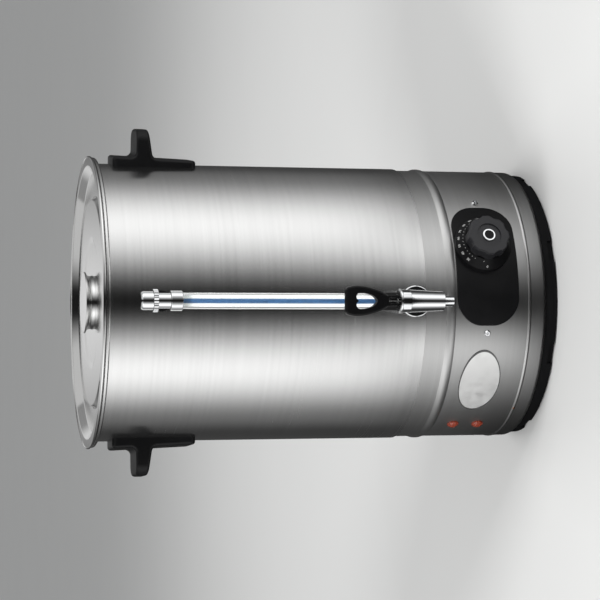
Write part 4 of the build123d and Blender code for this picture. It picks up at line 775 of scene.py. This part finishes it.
def notched(angle, radius):
    """Shallow hand-grip notches round the collar."""
    outside = radius > collar_notched_from
    return 1 - 0.06 * (0.5 + 0.5 * cos(collar_notches * angle)) ** 3 if outside else 1.0


collar_mesh = turned_mesh("gauge_hand_collar", collar_outline, 352, gauge_y, notched)
hand_collar = add_piece(collar_mesh, "urn", "chrome_plate", chrome, "gauge_collar")
nut_low, nut_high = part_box("gauge_upper_nut")
nut_radius = 0.0103
nut_bore = 0.00795
nut_flatness = 0.16
nut_outline = softened([
    (nut_bore, nut_low.z, 0), (nut_radius, nut_low.z, 0.001), (nut_radius, nut_high.z, 0.001),
    (nut_bore, nut_high.z, 0)])


def six_sided(angle, radius):
    """Six worn flats, between a hexagon and a circle."""
    flat = cos(pi / 6) / cos(angle % (pi / 3) - pi / 6)
    return 1 - nut_flatness * (1 - flat) if radius > nut_bore + 0.0005 else 1.0


nut_mesh = turned_mesh("gauge_top_nut", nut_outline, 240, gauge_y, six_sided)
top_nut = add_piece(nut_mesh, "urn", "chrome_plate", chrome, "gauge_upper_nut")
gauge_nodes = [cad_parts[node] for node in ("gauge_cap", "gauge_tee", "gauge_lower_nut")]
for piece in [tube, white_strip, stripe, hand_collar, top_nut] + gauge_nodes:
    piece.visible_glossy = False

# ---------------------------------------------------------------- control plate
# A black painted plate with round ends, curved to lie on the skirt; its bevelled edge is given the bright
# stainless finish, a painted highlight. A domed screw beside each end is threaded into a steel strap
# behind the skirt.
panel_screw_azimuths = (-12.92, 45.97)
panel_screw_height = 0.0793
panel_seat = 0.1484
plate_edge = 0.0008
black_paint = moulded_finish("black_paint", (0.0055, 0.0055, 0.006), 0.34, 0.00003, 0.0012, 0.1, 0.15)
plate = coat("control_plate", black_paint)
# Painted highlight: the bevel round the plate's edge takes the bright stainless finish in place of a
# highlight.
painted_highlight_edge = plate.modifiers.new("painted_highlight_edge", "BEVEL")
painted_highlight_edge.width = plate_edge
painted_highlight_edge.segments = 3
painted_highlight_edge.limit_method = "ANGLE"
painted_highlight_edge.harden_normals = True
painted_highlight_edge.material = 1
plate.data.materials.append(stainless)
panel_screw = screw_mesh("panel_screw", 0.0036, 0.002, 0.0012, 0.002, 0.0064, 0.0014)
panel_seats = [facing(azimuth, panel_seat, panel_screw_height) for azimuth in panel_screw_azimuths]
add_piece(gathered("panel_fixings", panel_screw, panel_seats), "urn", "chrome_plate", chrome, "panel_screws")
coat("control_strap", zinc_plate)

# ---------------------------------------------------------------- thermostat dial
# A black moulded drum on the plate. Its bevel carries white numbers and dots in raised print, from 0 at the
# left, round by the top, to the end stop below.
dial_azimuth = 23.474
dial_height = 0.0825
dial_edge_reach = 0.1545
dial_outer, dial_inner, dial_bevel = 0.0305, 0.0228, 0.009
numbers = [str(10 * ten) for ten in range(3, 12)]
first_number_turn, number_step = 45.0, 18.0
first_dot_turn, dot_row_turn, dot_step, row_dots = 10.8, 33.5, 9.0, 19
end_stop_turn = 270.0
number_share, dot_share, dash_share = 0.33, 0.78, 0.7     # how far in each kind of print lies on the bevel
print_height = 0.00005
digit_height, digit_swell = 0.0036, 0.00004
dot_foot, dot_top = 0.0004, 0.00035
dash_width, dash_length = 0.0007, 0.003
dial_plastic = moulded_finish("dial_plastic", (0.0055, 0.0055, 0.006), 0.42, 0.00003, 0.0009, 0.1, 0.15)
coat("dial_ring", dial_plastic)
bevel_run = sqrt((dial_outer - dial_inner) ** 2 + dial_bevel ** 2)


def on_bevel(turn, share, lift):
    """A point of the dial's bevel, by its turn clockwise from the left and its share of the way inwards."""
    radius = dial_outer + (dial_inner - dial_outer) * share + lift * dial_bevel / bevel_run
    rise = dial_bevel * share + lift * (dial_outer - dial_inner) / bevel_run
    return Vector((-radius * cos(turn), radius * sin(turn), rise))


def printed(flat, turn, share):
    """Wrap a flat print round the bevel; its upper side is towards the dial's edge."""
    for vertex in flat.vertices:
        here = share - vertex.co.y / bevel_run
        radius = dial_outer + (dial_inner - dial_outer) * here
        vertex.co = on_bevel(turn + vertex.co.x / radius, here, vertex.co.z)
    return flat


scale_builder = bmesh.new()
for index, number in enumerate(["0"] + numbers):
    turn = radians(first_number_turn + number_step * (index - 1)) if index else 0.0
    words = bpy.data.curves.new("number", "FONT")
    words.body = number
    words.size = digit_height
    words.align_x = "CENTER"
    words.align_y = "CENTER"
    words.extrude = print_height
    words.offset = digit_swell
    sign = bpy.data.objects.new("number", words)
    flat = bpy.data.meshes.new_from_object(sign)
    scale_builder.from_mesh(printed(flat, turn, number_share))
    bpy.data.objects.remove(sign)
for turn in [first_dot_turn] + [dot_row_turn + dot_step * k for k in range(row_dots)]:
    dot = bmesh.new()
    bmesh.ops.create_cone(dot, cap_ends=True, segments=12, radius1=dot_foot, radius2=dot_top,
                          depth=2 * print_height)
    scale_builder.from_mesh(printed(finished_mesh("dot", dot), radians(turn), dot_share))
dash = bmesh.new()
dash_size = Matrix.Diagonal((dash_width, dash_length, 2 * print_height, 1))
bmesh.ops.create_cube(dash, size=1.0, matrix=dash_size)
scale_builder.from_mesh(printed(finished_mesh("dash", dash), radians(end_stop_turn), dash_share))
scale_mesh = finished_mesh("dial_scale", scale_builder)
scale_mesh.transform(facing(dial_azimuth, dial_edge_reach, dial_height))
white_print = moulded_finish("white_print", (0.55, 0.55, 0.54), 0.5, 0.00001)
add_piece(scale_mesh, "urn", "white_plastic", white_print)

# ---------------------------------------------------------------- thermostat and its knob
# The knob is a satin grey-black moulding with eight lobes and a dished face, and a bright ring with a dark
# plain middle is pressed into it. It turns a flatted shaft; the bulb senses the tank's floor.
cap_radius, cap_hole, cap_middle_radius = 0.0069, 0.0047, 0.0046
cap_seat_reach = 0.1749
cap_rise = 0.0018
knob_plastic = moulded_finish("knob_plastic", (0.017, 0.017, 0.019), 0.38, 0.00003, 0.0009, 0.1, 0.35)
coat("thermostat_knob", knob_plastic)
ring_corners = [(cap_hole, 0, 0), (cap_radius, 0, 0), (cap_radius, cap_rise, 0.0007),
                (cap_hole + 0.0004, cap_rise, 0.0003), (cap_hole, cap_rise * 0.6, 0)]
cap_place = [facing(dial_azimuth, cap_seat_reach, dial_height)]
cap_ring = gathered("knob_cap_ring", turned_mesh("cap_ring", softened(ring_corners), 96), cap_place)
add_piece(cap_ring, "knob", "chrome_plate", chrome, "knob_cap")
cap_corners = [(0, 0, 0), (cap_middle_radius, 0, 0), (cap_middle_radius, cap_rise * 0.62, 0.0003),
               (0, cap_rise * 0.8, 0)]
cap_middle = gathered("knob_cap_middle", turned_mesh("cap_middle", softened(cap_corners), 96), cap_place)
add_piece(cap_middle, "knob", "black_phenolic", phenolic)
coat("thermostat_shaft", stainless)
coat("thermostat_body", zinc_plate)
coat("thermostat_nut", zinc_plate)
copper = plated_finish("copper_bulb", (0.62, 0.33, 0.20), 0.3, 0.008)
coat("thermostat_sensor", copper)
coat("bulb_clip", zinc_plate)

# ---------------------------------------------------------------- pilot lamps
# Two copper-red lenses with a flat rim and a faceted dome, moulded in clear coloured plastic, on white bodies
# that clip into the skirt.
lamp_azimuth = -62.6
lamp_heights = (0.0933, 0.0657)
lens_corners = [(0, -0.0003, 0), (0.0063, -0.0003, 0), (0.0063, 0.0012, 0.0005), (0.0056, 0.0012, 0),
                (0.0052, 0.0019, 0.0008), (0.0031, 0.0033, 0.002), (0, 0.0036, 0)]


def faceted(angle, radius):
    """Ten facets round the lens's dome."""
    on_dome = 0.001 < radius < 0.00545
    return 1 - 0.07 * abs(cos(5 * angle)) ** 2 if on_dome else 1.0


red_lens = moulded_finish("red_lens", (0.36, 0.06, 0.03), 0.22, 0.00001, gleam=0.5)
red_lens.node_tree.nodes["Principled BSDF"].inputs["Transmission Weight"].default_value = 0.35
lens_places = [facing(lamp_azimuth, panel_seat, height) for height in lamp_heights]
lens = turned_mesh("lens", softened(lens_corners, 4), 80, ripple=faceted)
add_piece(gathered("lamp_domes", lens, lens_places), "urn", "red_lens", red_lens, "lamp_lenses")
white_plastic = moulded_finish("plastic_white", (0.75, 0.75, 0.72), 0.5)
coat("lamp_bodies", white_plastic)

# ---------------------------------------------------------------- badge
# A blank oval of satin aluminium, its colour darker in a thin ring along its edge, glued to the skirt, and a
# small copper rivet in the skirt's lower bead.
badge_azimuth = radians(-35.3)
badge_height = 0.0805
badge_half_width, badge_half_height = 0.0395, 0.0225
rivet_azimuth, rivet_reach = -50.0, 0.1493
badge_satin = plated_finish("badge_satin", (0.86, 0.86, 0.85), 0.42, 0.01)
badge_nodes = badge_satin.node_tree
badge_place = add_node(badge_satin, "TexCoord").outputs["Object"]
badge_parts = add_node(badge_satin, "SeparateXYZ", {0: badge_place}).outputs
badge_forward = maths(badge_satin, "MULTIPLY", badge_parts["Y"], -1.0)
badge_turn = maths(badge_satin, "ARCTAN2", badge_parts["X"], badge_forward)
across = maths(badge_satin, "MULTIPLY", maths(badge_satin, "SUBTRACT", badge_turn, badge_azimuth),
               panel_seat / badge_half_width)
upright = maths(badge_satin, "DIVIDE", maths(badge_satin, "SUBTRACT", badge_parts["Z"], badge_height),
                badge_half_height)
oval = maths(badge_satin, "ADD", maths(badge_satin, "MULTIPLY", across, across),
             maths(badge_satin, "MULTIPLY", upright, upright))
# The colour is darker in a thin ring along the oval's edge.
border = add_node(badge_satin, "MapRange", {"Value": oval, "From Min": 0.90, "From Max": 0.93}).outputs[0]
badge_shader = badge_nodes.nodes["Principled BSDF"]
plain_tone = badge_shader.inputs["Base Color"].links[0].from_socket
border_tone = (0.12, 0.12, 0.12, 1)
badge_nodes.links.new(mixed_colour(badge_satin, border, plain_tone, border_tone),
                      badge_shader.inputs["Base Color"])
badge_shader.inputs["Metallic"].default_value = 0.55
coat("badge_plate", badge_satin)
rivet_outline = softened([(0, -0.0004, 0), (0.0013, -0.0004, 0), (0.0013, 0.0004, 0.0002), (0, 0.0007, 0)])
rivet_place = [facing(rivet_azimuth, rivet_reach, lower_bead_z)]
rivet = gathered("bead_rivet", turned_mesh("rivet", rivet_outline, 32), rivet_place)
add_piece(rivet, "urn", "copper_bulb", copper)

# ---------------------------------------------------------------- heater under the tank's floor
# A cast aluminium plate is drawn up against the tank's floor by a nut on one stud. The sheathed element lies
# under it in a ring, tinted by heat, with a boil-dry cut-out beside the stud.
cast_aluminium = plated_finish("cast_aluminium", (0.56, 0.56, 0.57), 0.5, 0.006, 0.00003)
element_sheath = plated_finish("element_sheath", (0.34, 0.27, 0.22), 0.4, 0.02)
coat("heater_plate", cast_aluminium)
coat("heating_element", element_sheath)
coat("heater_nut", zinc_plate)
coat("boil_dry_cutout", white_plastic)

# ---------------------------------------------------------------- base fittings
# Three steel rods tie the tray to the tank and carry a bright heat shield. A block of screw terminals and an
# earth nut are ready for the wires, which are not made.
base_screw_reach, base_screw_height = 0.115, 0.0049
base_screw_azimuths = (90, 210, 330)
coat("tie_rods", zinc_plate)
coat("heat_shield", plated_finish("shield_sheet", (0.62, 0.62, 0.62), 0.24, 0.03))
coat("shield_nuts", zinc_plate)
base_screw = screw_mesh("base_screw", 0.0042, 0.0026, 0.0012, 0.002, 0.02, 0.0016)
downwards = Matrix.Rotation(pi, 4, "X")
base_screw_places = []
for azimuth in base_screw_azimuths:
    x = base_screw_reach * sin(radians(azimuth))
    y = -base_screw_reach * cos(radians(azimuth))
    base_screw_places.append(Matrix.Translation((x, y, base_screw_height)) @ downwards)
tray_fixings = gathered("tray_fixings", base_screw, base_screw_places)
add_piece(tray_fixings, "urn", "zinc_steel", zinc_plate, "base_screws")
coat("terminal_block", white_plastic)
coat("earth_nut", brass)

# ---------------------------------------------------------------- mains inlet
# A black moulded socket at the back of the base, with three bright metal blades to take a lead. Two screws
# hold its flange to the skirt.
inlet_azimuth = 180.0
inlet_screw_reach, inlet_screw_height, inlet_screw_aside = 0.1514, 0.059, 0.021
coat("inlet_body", plastic_black)
coat("inlet_blades", stainless)
inlet_screw = screw_mesh("inlet_screw", 0.0032, 0.0018, 0.001, 0.0017, 0.009, 0.0012)
inlet_places = [facing(inlet_azimuth, inlet_screw_reach, inlet_screw_height, side * inlet_screw_aside)
                for side in (-1, 1)]
inlet_fixings = gathered("inlet_fixings", inlet_screw, inlet_places)
add_piece(inlet_fixings, "urn", "zinc_steel", zinc_plate, "inlet_screws")

# ---------------------------------------------------------------- view
# Plain colours.
scene.view_settings.view_transform = "Standard"
